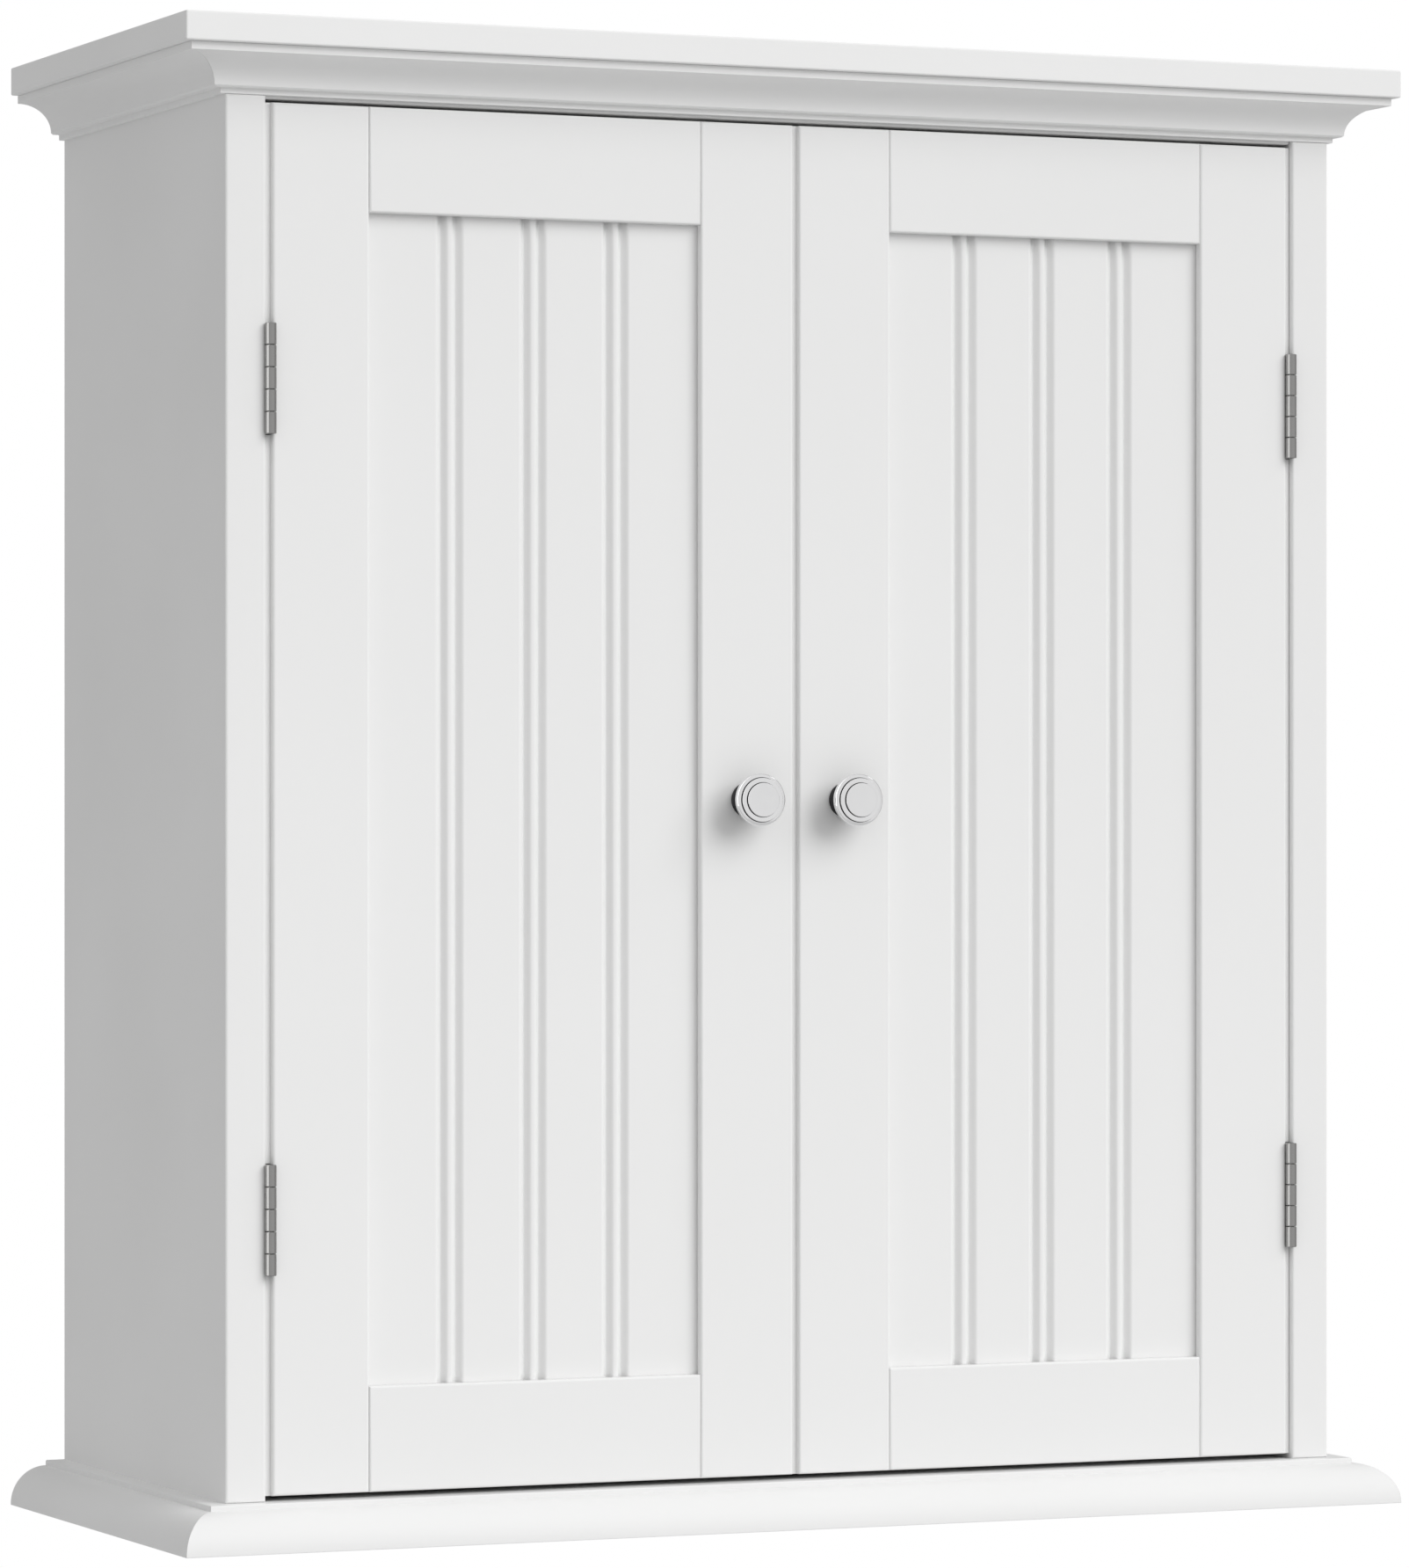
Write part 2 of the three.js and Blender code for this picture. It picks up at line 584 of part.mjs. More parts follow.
// A leaf with every second knuckle, its barrel axis at the origin and its plate towards +y.
// The leaf for the cabinet lies on the outer side of the gap, and the leaf for the door on the inner.
function hingeLeaf(outward, firstKnuckle) {
  const far = DOOR_GAP / 2 - LEAF_PLAY;
  const near = far - LEAF_THICKNESS;
  const plateX = outward > 0 ? [near, far] : [-far, -near];
  const plateStart = BARREL_RADIUS + LEAF_RELIEF;
  const plateEnd = plateStart + LEAF_DEPTH;
  const plate = box([plateX[0], plateStart, -HINGE_LENGTH / 2], [plateX[1], plateEnd, HINGE_LENGTH / 2]);
  const joins = [];
  const cuts = [];
  for (let knuckle = firstKnuckle; knuckle < KNUCKLES; knuckle += 2) {
    const z = -HINGE_LENGTH / 2 + (knuckle + 0.5) * knucklePitch;
    const half = (knucklePitch - KNUCKLE_GAP) / 2;
    joins.push(rod(BARREL_RADIUS, 2 * half, 'z', [0, 0, z], 16));
    joins.push(box([plateX[0], 0, z - half], [plateX[1], plateStart + 1, z + half]));
  }
  cuts.push(rod(BARREL_BORE, HINGE_LENGTH + 2, 'z', [0, 0, 0], 12));
  for (const step of [-1, 1]) {
    const x = (plateX[0] + plateX[1]) / 2;
    const y = plateStart + LEAF_DEPTH * LEAF_SCREW_PLACE;
    cuts.push(rod(LEAF_SCREW_RADIUS, 4, 'x', [x, y, step * LEAF_SCREW_SPREAD], 10));
  }
  return carve(plate, joins, cuts);
}

function hingePin() {
  const half = HINGE_LENGTH / 2 - PIN_SET_BACK;
  const chamfer = 0.3;
  const profile = [
    [0, -half],
    [PIN_RADIUS - chamfer, -half],
    [PIN_RADIUS, -half + chamfer],
    [PIN_RADIUS, half - chamfer],
    [PIN_RADIUS - chamfer, half],
    [0, half],
  ];
  const geometry = new THREE.LatheGeometry(profile.map(([r, h]) => new THREE.Vector2(r, h)), 12);
  geometry.rotateX(Math.PI / 2);
  return geometry;
}

for (const [sideName, side] of [['left', -1], ['right', 1]]) {
  for (const [level, step] of [['upper', 1], ['lower', -1]]) {
    const place = [side * hingeX, hingeY, doorMiddle + step * HINGE_SPREAD];
    const stem = `hinge_${sideName}_${level}`;
    add(`${stem}_cabinet_leaf`, hingeLeaf(side, 0), nickel(), ...place);
    add(`${stem}_door_leaf`, hingeLeaf(-side, 1), nickel(), ...place);
    add(`${stem}_pin`, hingePin(), nickel(), ...place);
  }
}

// ---- knobs and their screws ---------------------------------------------------------------------

// A turned knob: flange, waisted neck, wide rim and two raised steps, bored from behind for a screw.
function knob() {
  const bore = KNOB_SCREW_RADIUS + KNOB_SCREW_CLEARANCE;
  const profile = [
    [0, KNOB_SCREW_ENGAGEMENT + 1],
    [bore, KNOB_SCREW_ENGAGEMENT + 1],
    [bore, 0],
    [7.25, 0],
    [7.25, 1.2],
    [6.2, 2.2],
    [4.7, 4],
    [4.4, 6.5],
    [5, 9],
    [7.2, 10.9],
    [KNOB_HEAD_RADIUS - 0.7, 12],
    [KNOB_HEAD_RADIUS, 12.9],
    [KNOB_HEAD_RADIUS, 14],
    [KNOB_HEAD_RADIUS - 0.8, 14.8],
    [9.05, 14.8],
    [9.05, 15.6],
    [8.65, 16],
    [7, 16],
    [7, 16.7],
    [6.7, KNOB_REACH],
    [0, KNOB_REACH],
  ];
  const geometry = new THREE.LatheGeometry(profile.map(([r, h]) => new THREE.Vector2(r, h)), 20);
  geometry.rotateX(Math.PI);
  return geometry;
}

// A pan-head machine screw, its head against the back of the stile.
function knobScrew() {
  const shank = DOOR_THICKNESS + KNOB_SCREW_ENGAGEMENT;
  const profile = [
    [0, -2.6],
    [2.6, -2.6],
    [3.9, -1.6],
    [3.9, -GLUE_LINE],
    [KNOB_SCREW_RADIUS, -GLUE_LINE],
    [KNOB_SCREW_RADIUS, shank - 0.6],
    [KNOB_SCREW_RADIUS - 0.6, shank],
    [0, shank],
  ];
  const geometry = new THREE.LatheGeometry(profile.map(([r, h]) => new THREE.Vector2(r, h)), 12);
  geometry.rotateX(Math.PI);
  return geometry;
}

for (const [name, side] of [['left', -1], ['right', 1]]) {
  add(`knob_${name}`, knob(), chrome(), side * knobX, faceY - GLUE_LINE, doorMiddle);
  add(`knob_screw_${name}`, knobScrew(), zinc(), side * knobX, doorBackY, doorMiddle);
}

// ---- magnetic catches ---------------------------------------------------------------------------

const catchFrontY = doorBackY + STRIKE_THICKNESS + STRIKE_GAP;
const catchBackY = catchFrontY + CATCH_DEPTH;
const catchTop = insideTop - GLUE_LINE;
const strikeTop = doorTop - STRIKE_DROP;
const strikeFrontY = doorBackY + GLUE_LINE;

for (const [name, side] of [['left', -1], ['right', 1]]) {
  const x = side * CATCH_OFFSET;
  const half = CATCH_WIDTH / 2;
  const caseLow = [x - half + CATCH_EAR, catchFrontY, insideTop - CATCH_HEIGHT];
  const caseHigh = [x + half - CATCH_EAR, catchBackY, catchTop];
  const lugLow = [x - half, catchFrontY + CATCH_EAR_SET_IN, insideTop - CATCH_EAR_THICKNESS];
  const lugHigh = [x + half, catchBackY - CATCH_EAR_SET_IN, catchTop];
  const screwHoles = [-1, 1].map((end) => {
    const middle = [x + end * (half - CATCH_EAR / 2), catchFrontY + CATCH_DEPTH / 2, insideTop - 2];
    return rod(CATCH_SCREW_RADIUS, 12, 'z', middle, 10);
  });
  add(`catch_body_${name}`, carve(box(caseLow, caseHigh), [box(lugLow, lugHigh)], screwHoles), plastic());
  const strikeLow = [side * knobX - STRIKE_WIDTH / 2, strikeFrontY, strikeTop - STRIKE_HEIGHT];
  const strikeHigh = [side * knobX + STRIKE_WIDTH / 2, strikeFrontY + STRIKE_THICKNESS, strikeTop];
  add(`catch_strike_${name}`, board(strikeLow, strikeHigh, 0.3), zinc());
}

export default cabinet;
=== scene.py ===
import math

import bmesh
import bpy
from mathutils import Matrix, Vector


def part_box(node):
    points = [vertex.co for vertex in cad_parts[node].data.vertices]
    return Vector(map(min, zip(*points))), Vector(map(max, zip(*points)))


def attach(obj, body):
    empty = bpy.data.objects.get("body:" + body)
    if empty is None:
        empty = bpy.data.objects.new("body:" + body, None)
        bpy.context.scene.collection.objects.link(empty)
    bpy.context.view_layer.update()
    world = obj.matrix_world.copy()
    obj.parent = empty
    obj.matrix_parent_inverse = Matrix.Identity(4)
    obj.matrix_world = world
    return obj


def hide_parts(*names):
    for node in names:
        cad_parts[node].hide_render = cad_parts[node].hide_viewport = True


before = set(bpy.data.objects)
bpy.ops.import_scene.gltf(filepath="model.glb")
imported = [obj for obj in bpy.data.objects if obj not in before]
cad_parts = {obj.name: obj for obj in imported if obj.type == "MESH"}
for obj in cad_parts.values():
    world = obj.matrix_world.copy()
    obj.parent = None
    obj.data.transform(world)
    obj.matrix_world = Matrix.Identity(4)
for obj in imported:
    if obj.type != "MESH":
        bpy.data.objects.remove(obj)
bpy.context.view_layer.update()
mm = 0.001

# ---- Camera, floor and studio lights ------------------------------------------------------------
# A long lens held level with the middle of the doors, turned a little to the cabinet's left, so the
# uprights stay parallel. The floor is well below, because the cabinet hangs on a wall.

scene = bpy.context.scene
scene.view_settings.view_transform = "Standard"
scene.view_settings.look = "None"

view_turn = math.radians(23.46)
camera_data = bpy.data.cameras.new("camera")
camera_data.sensor_width = 36.0
camera_data.lens = 155.4
camera_data.shift_y = 0.0234
camera = bpy.data.objects.new("camera", camera_data)
scene.collection.objects.link(camera)
door_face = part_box("door_left_hinge_stile")[0].y
camera.location = (-1.1468, door_face - 2.5475, 0.2905)
camera.rotation_euler = (math.radians(90), 0, -view_turn)
scene.camera = camera

world = bpy.data.worlds.new("studio")
scene.world = world
world.use_nodes = True
sky = world.node_tree
sky.nodes.clear()


def add_node(tree, kind, inputs=(), **settings):
    """A new node with its settings made. Each input gets a value, or the output that feeds it."""
    node = tree.nodes.new(kind)
    for name, value in settings.items():
        setattr(node, name, value)
    for name, value in dict(inputs).items():
        if isinstance(value, bpy.types.NodeSocket):
            tree.links.new(value, node.inputs[name])
        else:
            node.inputs[name].default_value = value
    return node


# The room is a shade darker below, and the metal sees a soft box on the left, dark drapes behind it
# and pale walls on the other sides.
room_way = add_node(sky, "ShaderNodeTexCoord").outputs["Generated"]
facing = add_node(sky, "ShaderNodeSeparateXYZ", {"Vector": room_way}).outputs
height = add_node(sky, "ShaderNodeMapRange", {
    "Value": facing["Z"], "From Min": -0.35, "From Max": 0.35, "To Min": 0.46, "To Max": 0.785,
}, interpolation_type="SMOOTHSTEP")
front = add_node(sky, "ShaderNodeMath", {0: facing["Y"], 1: -1.0}, operation="MULTIPLY").outputs[0]
turn = add_node(sky, "ShaderNodeMath", {0: facing["X"], 1: front}, operation="ARCTAN2").outputs[0]
round_room = add_node(sky, "ShaderNodeMapRange", {"Value": turn, "From Min": -math.pi, "From Max": math.pi})
walls = add_node(sky, "ShaderNodeValToRGB", {"Fac": round_room.outputs["Result"]})
walls.color_ramp.interpolation = "EASE"
wall_shades = (
    (-180, 0.12), (-118, 0.12), (-104, 1.0), (-66, 1.0), (-52, 0.36),
    (0, 0.40), (38, 0.41), (80, 0.27), (130, 0.24), (180, 0.12),
)
for degrees, shade in wall_shades[1:-1]:
    walls.color_ramp.elements.new((degrees + 180) / 360)
for stop, (degrees, shade) in zip(walls.color_ramp.elements, wall_shades):
    stop.position = (degrees + 180) / 360
    stop.color = (shade, shade, shade, 1)
rays = add_node(sky, "ShaderNodeLightPath").outputs
room = add_node(sky, "ShaderNodeBackground", {"Strength": height.outputs["Result"]})
reflected = add_node(sky, "ShaderNodeBackground", {"Color": walls.outputs["Color"], "Strength": 2.0})
backdrop = add_node(sky, "ShaderNodeBackground", {"Color": (1.0, 1.0, 1.0, 1.0), "Strength": 1.0})
lit = add_node(sky, "ShaderNodeMixShader", {
    0: rays["Is Glossy Ray"], 1: room.outputs[0], 2: reflected.outputs[0],
})
seen = add_node(sky, "ShaderNodeMixShader", {
    0: rays["Is Camera Ray"], 1: lit.outputs[0], 2: backdrop.outputs[0],
})
add_node(sky, "ShaderNodeOutputWorld", {"Surface": seen.outputs[0]})


def broad_light(name, azimuth, elevation, spread, strength):
    """A large soft source far off: azimuth 0 is straight in front, and positive to the right."""
    data = bpy.data.lights.new(name, "SUN")
    data.angle = math.radians(spread)
    data.energy = strength
    lamp = bpy.data.objects.new(name, data)
    scene.collection.objects.link(lamp)
    side, rise = math.radians(azimuth), math.radians(elevation)
    out = Vector((math.sin(side) * math.cos(rise), -math.cos(side) * math.cos(rise), math.sin(rise)))
    lamp.rotation_euler = out.to_track_quat("Z", "Y").to_euler()
    return lamp


key = broad_light("key_softbox", 33, 32, 44, 1.63)
key.visible_glossy = False
broad_light("glint", 69, 37, 12, 0.06)

floor_depth = 0.4
floor_radius = 2.2
floor_mesh = bpy.data.meshes.new("floor")
floor_shape = bmesh.new()
bmesh.ops.create_circle(floor_shape, cap_ends=True, radius=floor_radius, segments=96)
bmesh.ops.translate(floor_shape, verts=floor_shape.verts, vec=(0, 0, -floor_depth))
floor_shape.to_mesh(floor_mesh)
floor_shape.free()
floor = bpy.data.objects.new("floor", floor_mesh)
scene.collection.objects.link(floor)
floor_paint = bpy.data.materials.new("floor_pale")
floor_paint.use_nodes = True
floor_shader = floor_paint.node_tree.nodes["Principled BSDF"]
floor_shader.inputs["Base Color"].default_value = (0.66, 0.66, 0.66, 1)
floor_shader.inputs["Roughness"].default_value = 0.7
floor_mesh.materials.append(floor_paint)

# ---- White satin paint ---------------------------------------------------------------------------
# Sprayed satin lacquer over primed fibreboard: a fine orange peel, a sheen that drifts a little from
# place to place, and very slight shifts of tone. The crown and top board are a shade lighter,
# painted light for the brighter light at the top of the cabinet, and the base moulding a shade darker.


def finish(name, tones, cloud, sheen, grain, bump, fixed=()):
    """A finish whose tone and roughness drift between two values with a cloudy noise, over a fine
    grain raised by bump, its strength and height."""
    coat = bpy.data.materials.new(name)
    coat.use_nodes = True
    tree = coat.node_tree
    shader = tree.nodes["Principled BSDF"]
    for socket, value in dict(fixed).items():
        shader.inputs[socket].default_value = value
    place = add_node(tree, "ShaderNodeTexCoord").outputs["Object"]
    drift = add_node(tree, "ShaderNodeTexNoise", {"Vector": place, **cloud}).outputs["Fac"]
    tint = add_node(tree, "ShaderNodeMix", {
        "Factor": drift, "A": (*tones[0], 1), "B": (*tones[1], 1),
    }, data_type="RGBA")
    tree.links.new(tint.outputs["Result"], shader.inputs["Base Color"])
    if sheen:
        spread = add_node(tree, "ShaderNodeMapRange", {
            "Value": drift, "From Min": 0.3, "From Max": 0.7, "To Min": sheen[0], "To Max": sheen[1],
        })
        tree.links.new(spread.outputs["Result"], shader.inputs["Roughness"])
    raised = add_node(tree, "ShaderNodeTexNoise", {"Vector": place, **grain}).outputs["Fac"]
    relief = add_node(tree, "ShaderNodeBump", {"Height": raised, "Strength": bump[0], "Distance": bump[1]})
    tree.links.new(relief.outputs["Normal"], shader.inputs["Normal"])
    return coat


def satin_paint(name, tone, roughness, peel_mm=1.1):
    low, high = tone * 0.988, tone * 1.012
    return finish(
        name, ((low, low, low * 0.995), (high, high, high * 0.998)), {"Scale": 9.0, "Detail": 4.0},
        (roughness - 0.06, roughness + 0.06),
        {"Scale": 1.0 / (peel_mm * mm), "Detail": 2.0, "Roughness": 0.45}, (0.35, 0.012 * mm),
        {"Specular IOR Level": 0.4},
    )


carcass_paint = satin_paint("carcass_satin_white", 0.85, 0.42)
# A shade lighter than the doors: painted light for the brighter light at the top.
moulding_paint = satin_paint("moulding_satin_white", 0.88, 0.38, peel_mm=1.3)
base_paint = satin_paint("base_satin_white", 0.845, 0.38, peel_mm=1.3)
door_paint = satin_paint("door_satin_white", 0.855, 0.40)
inside_paint = satin_paint("inside_satin_white", 0.84, 0.50, peel_mm=0.8)

# ---- Carcass boards ------------------------------------------------------------------------------
# Side panels, inner top and bottom, back and rails: fibreboard sawn square, with every arris eased
# with fine paper before painting. The side panels are let in for the mouldings at both ends.


def link(name, mesh, material):
    piece = bpy.data.objects.new(name, mesh)
    scene.collection.objects.link(piece)
    mesh.materials.clear()
    mesh.materials.append(material)
    return piece


def settled(piece):
    """The piece with its modifiers made part of its mesh."""
    bpy.context.view_layer.update()
    seen = piece.evaluated_get(bpy.context.evaluated_depsgraph_get())
    mesh = bpy.data.meshes.new_from_object(seen)
    piece.modifiers.clear()
    old = piece.data
    piece.data = mesh
    mesh.name = piece.name
    bpy.data.meshes.remove(old)
    return piece


def shaded(piece, sharp_degrees=38):
    """Rounds read as round and flats as flat: the big faces set the direction of shared corners."""
    piece.data.shade_smooth()
    piece.data.set_sharp_from_angle(angle=math.radians(sharp_degrees))
    even = piece.modifiers.new("even", "WEIGHTED_NORMAL")
    even.keep_sharp = True
    even.weight = 100
    return settled(piece)


def prism(outline, low, high, along):
    """A straight piece: the outline is in the two other axes, in x, y, z order."""
    shape = bmesh.new()
    order = {"x": (2, 0, 1), "y": (0, 2, 1), "z": (0, 1, 2)}[along]
    ends = [
        [shape.verts.new([(u, v, w)[axis] for axis in order]) for u, v in outline] for w in (low, high)
    ]
    shape.faces.new(ends[0])
    shape.faces.new(ends[1])
    for i in range(len(outline)):
        j = (i + 1) % len(outline)
        shape.faces.new((ends[0][i], ends[0][j], ends[1][j], ends[1][i]))
    bmesh.ops.recalc_face_normals(shape, faces=shape.faces)
    return shape


def between(front, back):
    """Picks the edges that lie wholly between two distances from front to back."""
    return lambda edge: all(front < v.co.y < back for v in edge.verts)


def running(axis, length):
    """Picks the edges that run further than a length along an axis."""
    return lambda edge: abs(edge.verts[0].co[axis] - edge.verts[1].co[axis]) > length


def ease(shape, radius, picks=None, steps=4):
    """Rounds the outer corners of a shape: all of them, or those that the test picks."""
    edges = [
        edge for edge in shape.edges
        if len(edge.link_faces) == 2 and edge.is_convex
        and edge.calc_face_angle() > math.radians(40) and (picks is None or picks(edge))
    ]
    bmesh.ops.bevel(shape, geom=edges, offset=radius, segments=steps, profile=0.5, affect="EDGES",
                    clamp_overlap=True)


def made(name, shape, material):
    mesh = bpy.data.meshes.new(name)
    bmesh.ops.recalc_face_normals(shape, faces=shape.faces)
    shape.to_mesh(mesh)
    shape.free()
    return link(name, mesh, material)


def rectangle(low, high):
    return [(low[0], low[1]), (high[0], low[1]), (high[0], high[1]), (low[0], high[1])]


def fitted(piece, node, body):
    """Stands for the CAD node of that name and moves with its body."""
    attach(piece, body)
    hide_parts(node)
    return piece


def plain_board(node, radius, material, name=None):
    low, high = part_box(node)
    shape = prism(rectangle(low.xy, high.xy), low.z, high.z, "z")
    ease(shape, radius)
    return fitted(shaded(made(name or node + "_board", shape, material)), node, "cabinet")


board_arris = 0.8 * mm
shelf_arris = 1.1 * mm
plain_board("top_panel", board_arris, inside_paint)
plain_board("bottom_panel", board_arris, inside_paint)
plain_board("lower_back_rail", board_arris, inside_paint)
for level in ("lower", "upper"):
    plain_board(f"shelf_{level}", shelf_arris, inside_paint)

# ---- Side panels and their shelf-pin holes --------------------------------------------------------
# One board each, front arrises rounded a little more than the rest. Five-millimetre holes are drilled
# part way through in two rows, three to each shelf, so that the shelves can be moved up or down.

pin_hole_radius = 2.6 * mm
pin_hole_depth = 10 * mm
pin_hole_pitch = 32 * mm
upright_arris = 1.1 * mm


def tree_with_inputs(name, inputs):
    """A new geometry node tree with named inputs, and the sockets that give them."""
    tree = bpy.data.node_groups.new(name, "GeometryNodeTree")
    for label, kind in inputs:
        tree.interface.new_socket(name=label, in_out="INPUT", socket_type="NodeSocket" + kind)
    tree.interface.new_socket(name="Geometry", in_out="OUTPUT", socket_type="NodeSocketGeometry")
    return tree, tree.nodes.new("NodeGroupInput").outputs


def ended(tree, geometry, material):
    """The tree with its last step, the material put on."""
    coat = add_node(tree, "GeometryNodeSetMaterial", {"Geometry": geometry, "Material": material})
    add_node(tree, "NodeGroupOutput", {0: coat.outputs[0]})
    return tree


def worked(piece, tree, values):
    """The piece after a geometry node tree has gone over it with these inputs."""
    step = piece.modifiers.new("worked", "NODES")
    step.node_group = tree
    inputs = {item.name: item.identifier for item in tree.interface.items_tree if item.in_out == "INPUT"}
    for name, value in values.items():
        step[inputs[name]] = value
    return settled(piece)


def drilling_tree():
    tree, given = tree_with_inputs("drilled_pin_holes", (
        ("Board", "Geometry"), ("Hole radius", "Float"), ("Hole depth", "Float"), ("Pitch", "Float"),
        ("Row spacing", "Float"), ("Lower group", "Vector"), ("Upper group", "Vector"), ("Paint", "Material"),
    ))
    drill_length, group_length = (
        add_node(tree, "ShaderNodeMath", {0: given[name], 1: 2.0}, operation="MULTIPLY").outputs[0]
        for name in ("Hole depth", "Pitch")
    )
    drill = add_node(tree, "GeometryNodeMeshCylinder", {
        "Vertices": 32, "Radius": given["Hole radius"], "Depth": drill_length,
    })
    sideways = (0, math.radians(90), 0)
    spots = add_node(tree, "GeometryNodeJoinGeometry")
    for group in ("Lower group", "Upper group"):
        grid = add_node(tree, "GeometryNodeMeshGrid", {
            "Vertices X": 3, "Vertices Y": 2, "Size X": group_length, "Size Y": given["Row spacing"],
        })
        upright_grid = add_node(tree, "GeometryNodeTransform", {
            "Geometry": grid.outputs["Mesh"], "Translation": given[group], "Rotation": sideways,
        })
        tree.links.new(upright_grid.outputs[0], spots.inputs[0])
    drills = add_node(tree, "GeometryNodeInstanceOnPoints", {
        "Points": spots.outputs[0], "Instance": drill.outputs["Mesh"], "Rotation": sideways,
    })
    tools = add_node(tree, "GeometryNodeRealizeInstances", {0: drills.outputs[0]})
    cut = add_node(tree, "GeometryNodeMeshBoolean", {
        "Mesh 1": given["Board"], "Mesh 2": tools.outputs[0],
    }, operation="DIFFERENCE", solver="EXACT")
    return ended(tree, cut.outputs["Mesh"], given["Paint"])


drilling = drilling_tree()
let_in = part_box("crown_front")[1].y + 0.1 * mm
crown_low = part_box("crown_front")[0].z
base_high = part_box("base_front")[1].z
for side in ("left", "right"):
    low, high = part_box(f"side_panel_{side}")
    outline = [
        (let_in, low.z), (high.y, low.z), (high.y, high.z), (let_in, high.z),
        (let_in, crown_low), (low.y, crown_low), (low.y, base_high), (let_in, base_high),
    ]
    shape = prism(outline, low.x, high.x, "x")
    ease(shape, upright_arris, between(-math.inf, low.y + 0.01 * mm))
    panel = made(f"side_panel_{side}_board", shape, carcass_paint)
    inner_x = high.x if side == "left" else low.x
    row_front, row_back = (
        sum(corner.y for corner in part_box(f"shelf_pin_lower_{side}_{row}")) / 2 for row in ("front", "back")
    )
    groups = {}
    for level, group in (("lower", "Lower group"), ("upper", "Upper group")):
        pin_low, pin_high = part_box(f"shelf_pin_{level}_{side}_front")
        groups[group] = (inner_x, (row_front + row_back) / 2, (pin_low.z + pin_high.z) / 2)
    worked(panel, drilling, {
        "Hole radius": pin_hole_radius, "Hole depth": pin_hole_depth, "Pitch": pin_hole_pitch,
        "Row spacing": row_back - row_front, "Paint": carcass_paint, **groups,
    })
    fitted(shaded(panel), f"side_panel_{side}", "cabinet")

# ---- Back panel ----------------------------------------------------------------------------------
# Thin hardboard, painted white inside. Its back is left raw, brown, with the mesh print of the press.


def hardboard_back():
    raw = bpy.data.materials.new("hardboard_mesh_back")
    raw.use_nodes = True
    tree = raw.node_tree
    shader = tree.nodes["Principled BSDF"]
    shader.inputs["Roughness"].default_value = 0.85
    place = add_node(tree, "ShaderNodeTexCoord").outputs["Object"]
    fibre = add_node(tree, "ShaderNodeTexNoise", {
        "Vector": place, "Scale": 55, "Detail": 8, "Roughness": 0.7,
    })
    tone = add_node(tree, "ShaderNodeValToRGB", {"Fac": fibre.outputs["Fac"]})
    browns = ((0.3, (0.19, 0.108, 0.055, 1)), (0.75, (0.34, 0.215, 0.12, 1)))
    for stop, (position, brown) in zip(tone.color_ramp.elements, browns):
        stop.position = position
        stop.color = brown
    tree.links.new(tone.outputs["Color"], shader.inputs["Base Color"])
    strands = [
        add_node(tree, "ShaderNodeTexWave", {
            "Vector": place, "Scale": 95, "Distortion": 0.6, "Detail Scale": 3,
        }, bands_direction=axis).outputs["Fac"]
        for axis in ("X", "Z")
    ]
    weave = add_node(tree, "ShaderNodeMath", {0: strands[0], 1: strands[1]}, operation="MULTIPLY")
    relief = add_node(tree, "ShaderNodeBump", {
        "Height": weave.outputs[0], "Strength": 0.6, "Distance": 0.25 * mm,
    })
    tree.links.new(relief.outputs["Normal"], shader.inputs["Normal"])
    return raw


low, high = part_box("back_panel")
shape = prism(rectangle(low.xy, high.xy), low.z, high.z, "z")
ease(shape, 0.4 * mm, steps=2)
back_board = shaded(made("back_panel_board", shape, inside_paint))
back_board.data.materials.append(hardboard_back())
for face in back_board.data.polygons:
    if face.normal.y > 0.5:
        face.material_index = 1
fitted(back_board, "back_panel", "cabinet")

# ---- Top board -----------------------------------------------------------------------------------
# A flat board that overhangs the front and both sides, with all its arrises rounded over.

plain_board("top_board", 0.7 * mm, moulding_paint, "top_board_slab")

# ---- Crown and base mouldings ---------------------------------------------------------------------
# Run through a moulder and mitred round three sides. The crown is a scotia between two fillets, and
# the base is a step over a quarter-round. Painted after fixing, so each mitre shows as a fine line.


def arc(centre_u, centre_v, radius_u, radius_v, start, end, steps):
    turns = [math.radians(start + (end - start) * step / steps) for step in range(steps + 1)]
    return [(centre_u + radius_u * math.cos(t), centre_v + radius_v * math.sin(t)) for t in turns]


def rounded_corners(points, steps=4):
    """An outline with some corners rounded: (u, v) stays sharp, and (u, v, radius) is round."""
    outline = []
    for i, point in enumerate(points):
        if len(point) == 2:
            outline.append(point)
            continue
        here = Vector(point[:2])
        before = (Vector(points[i - 1][:2]) - here).normalized()
        after = (Vector(points[(i + 1) % len(points)][:2]) - here).normalized()
        half = before.angle(after) / 2
        cut_back = point[2] / math.tan(half)
        centre = here + (before + after).normalized() * (point[2] / math.sin(half))
        start = (here + before * cut_back - centre).normalized()
        end = (here + after * cut_back - centre).normalized()
        for step in range(steps + 1):
            outline.append(tuple(centre + start.slerp(end, step / steps).normalized() * point[2]))
    return outline


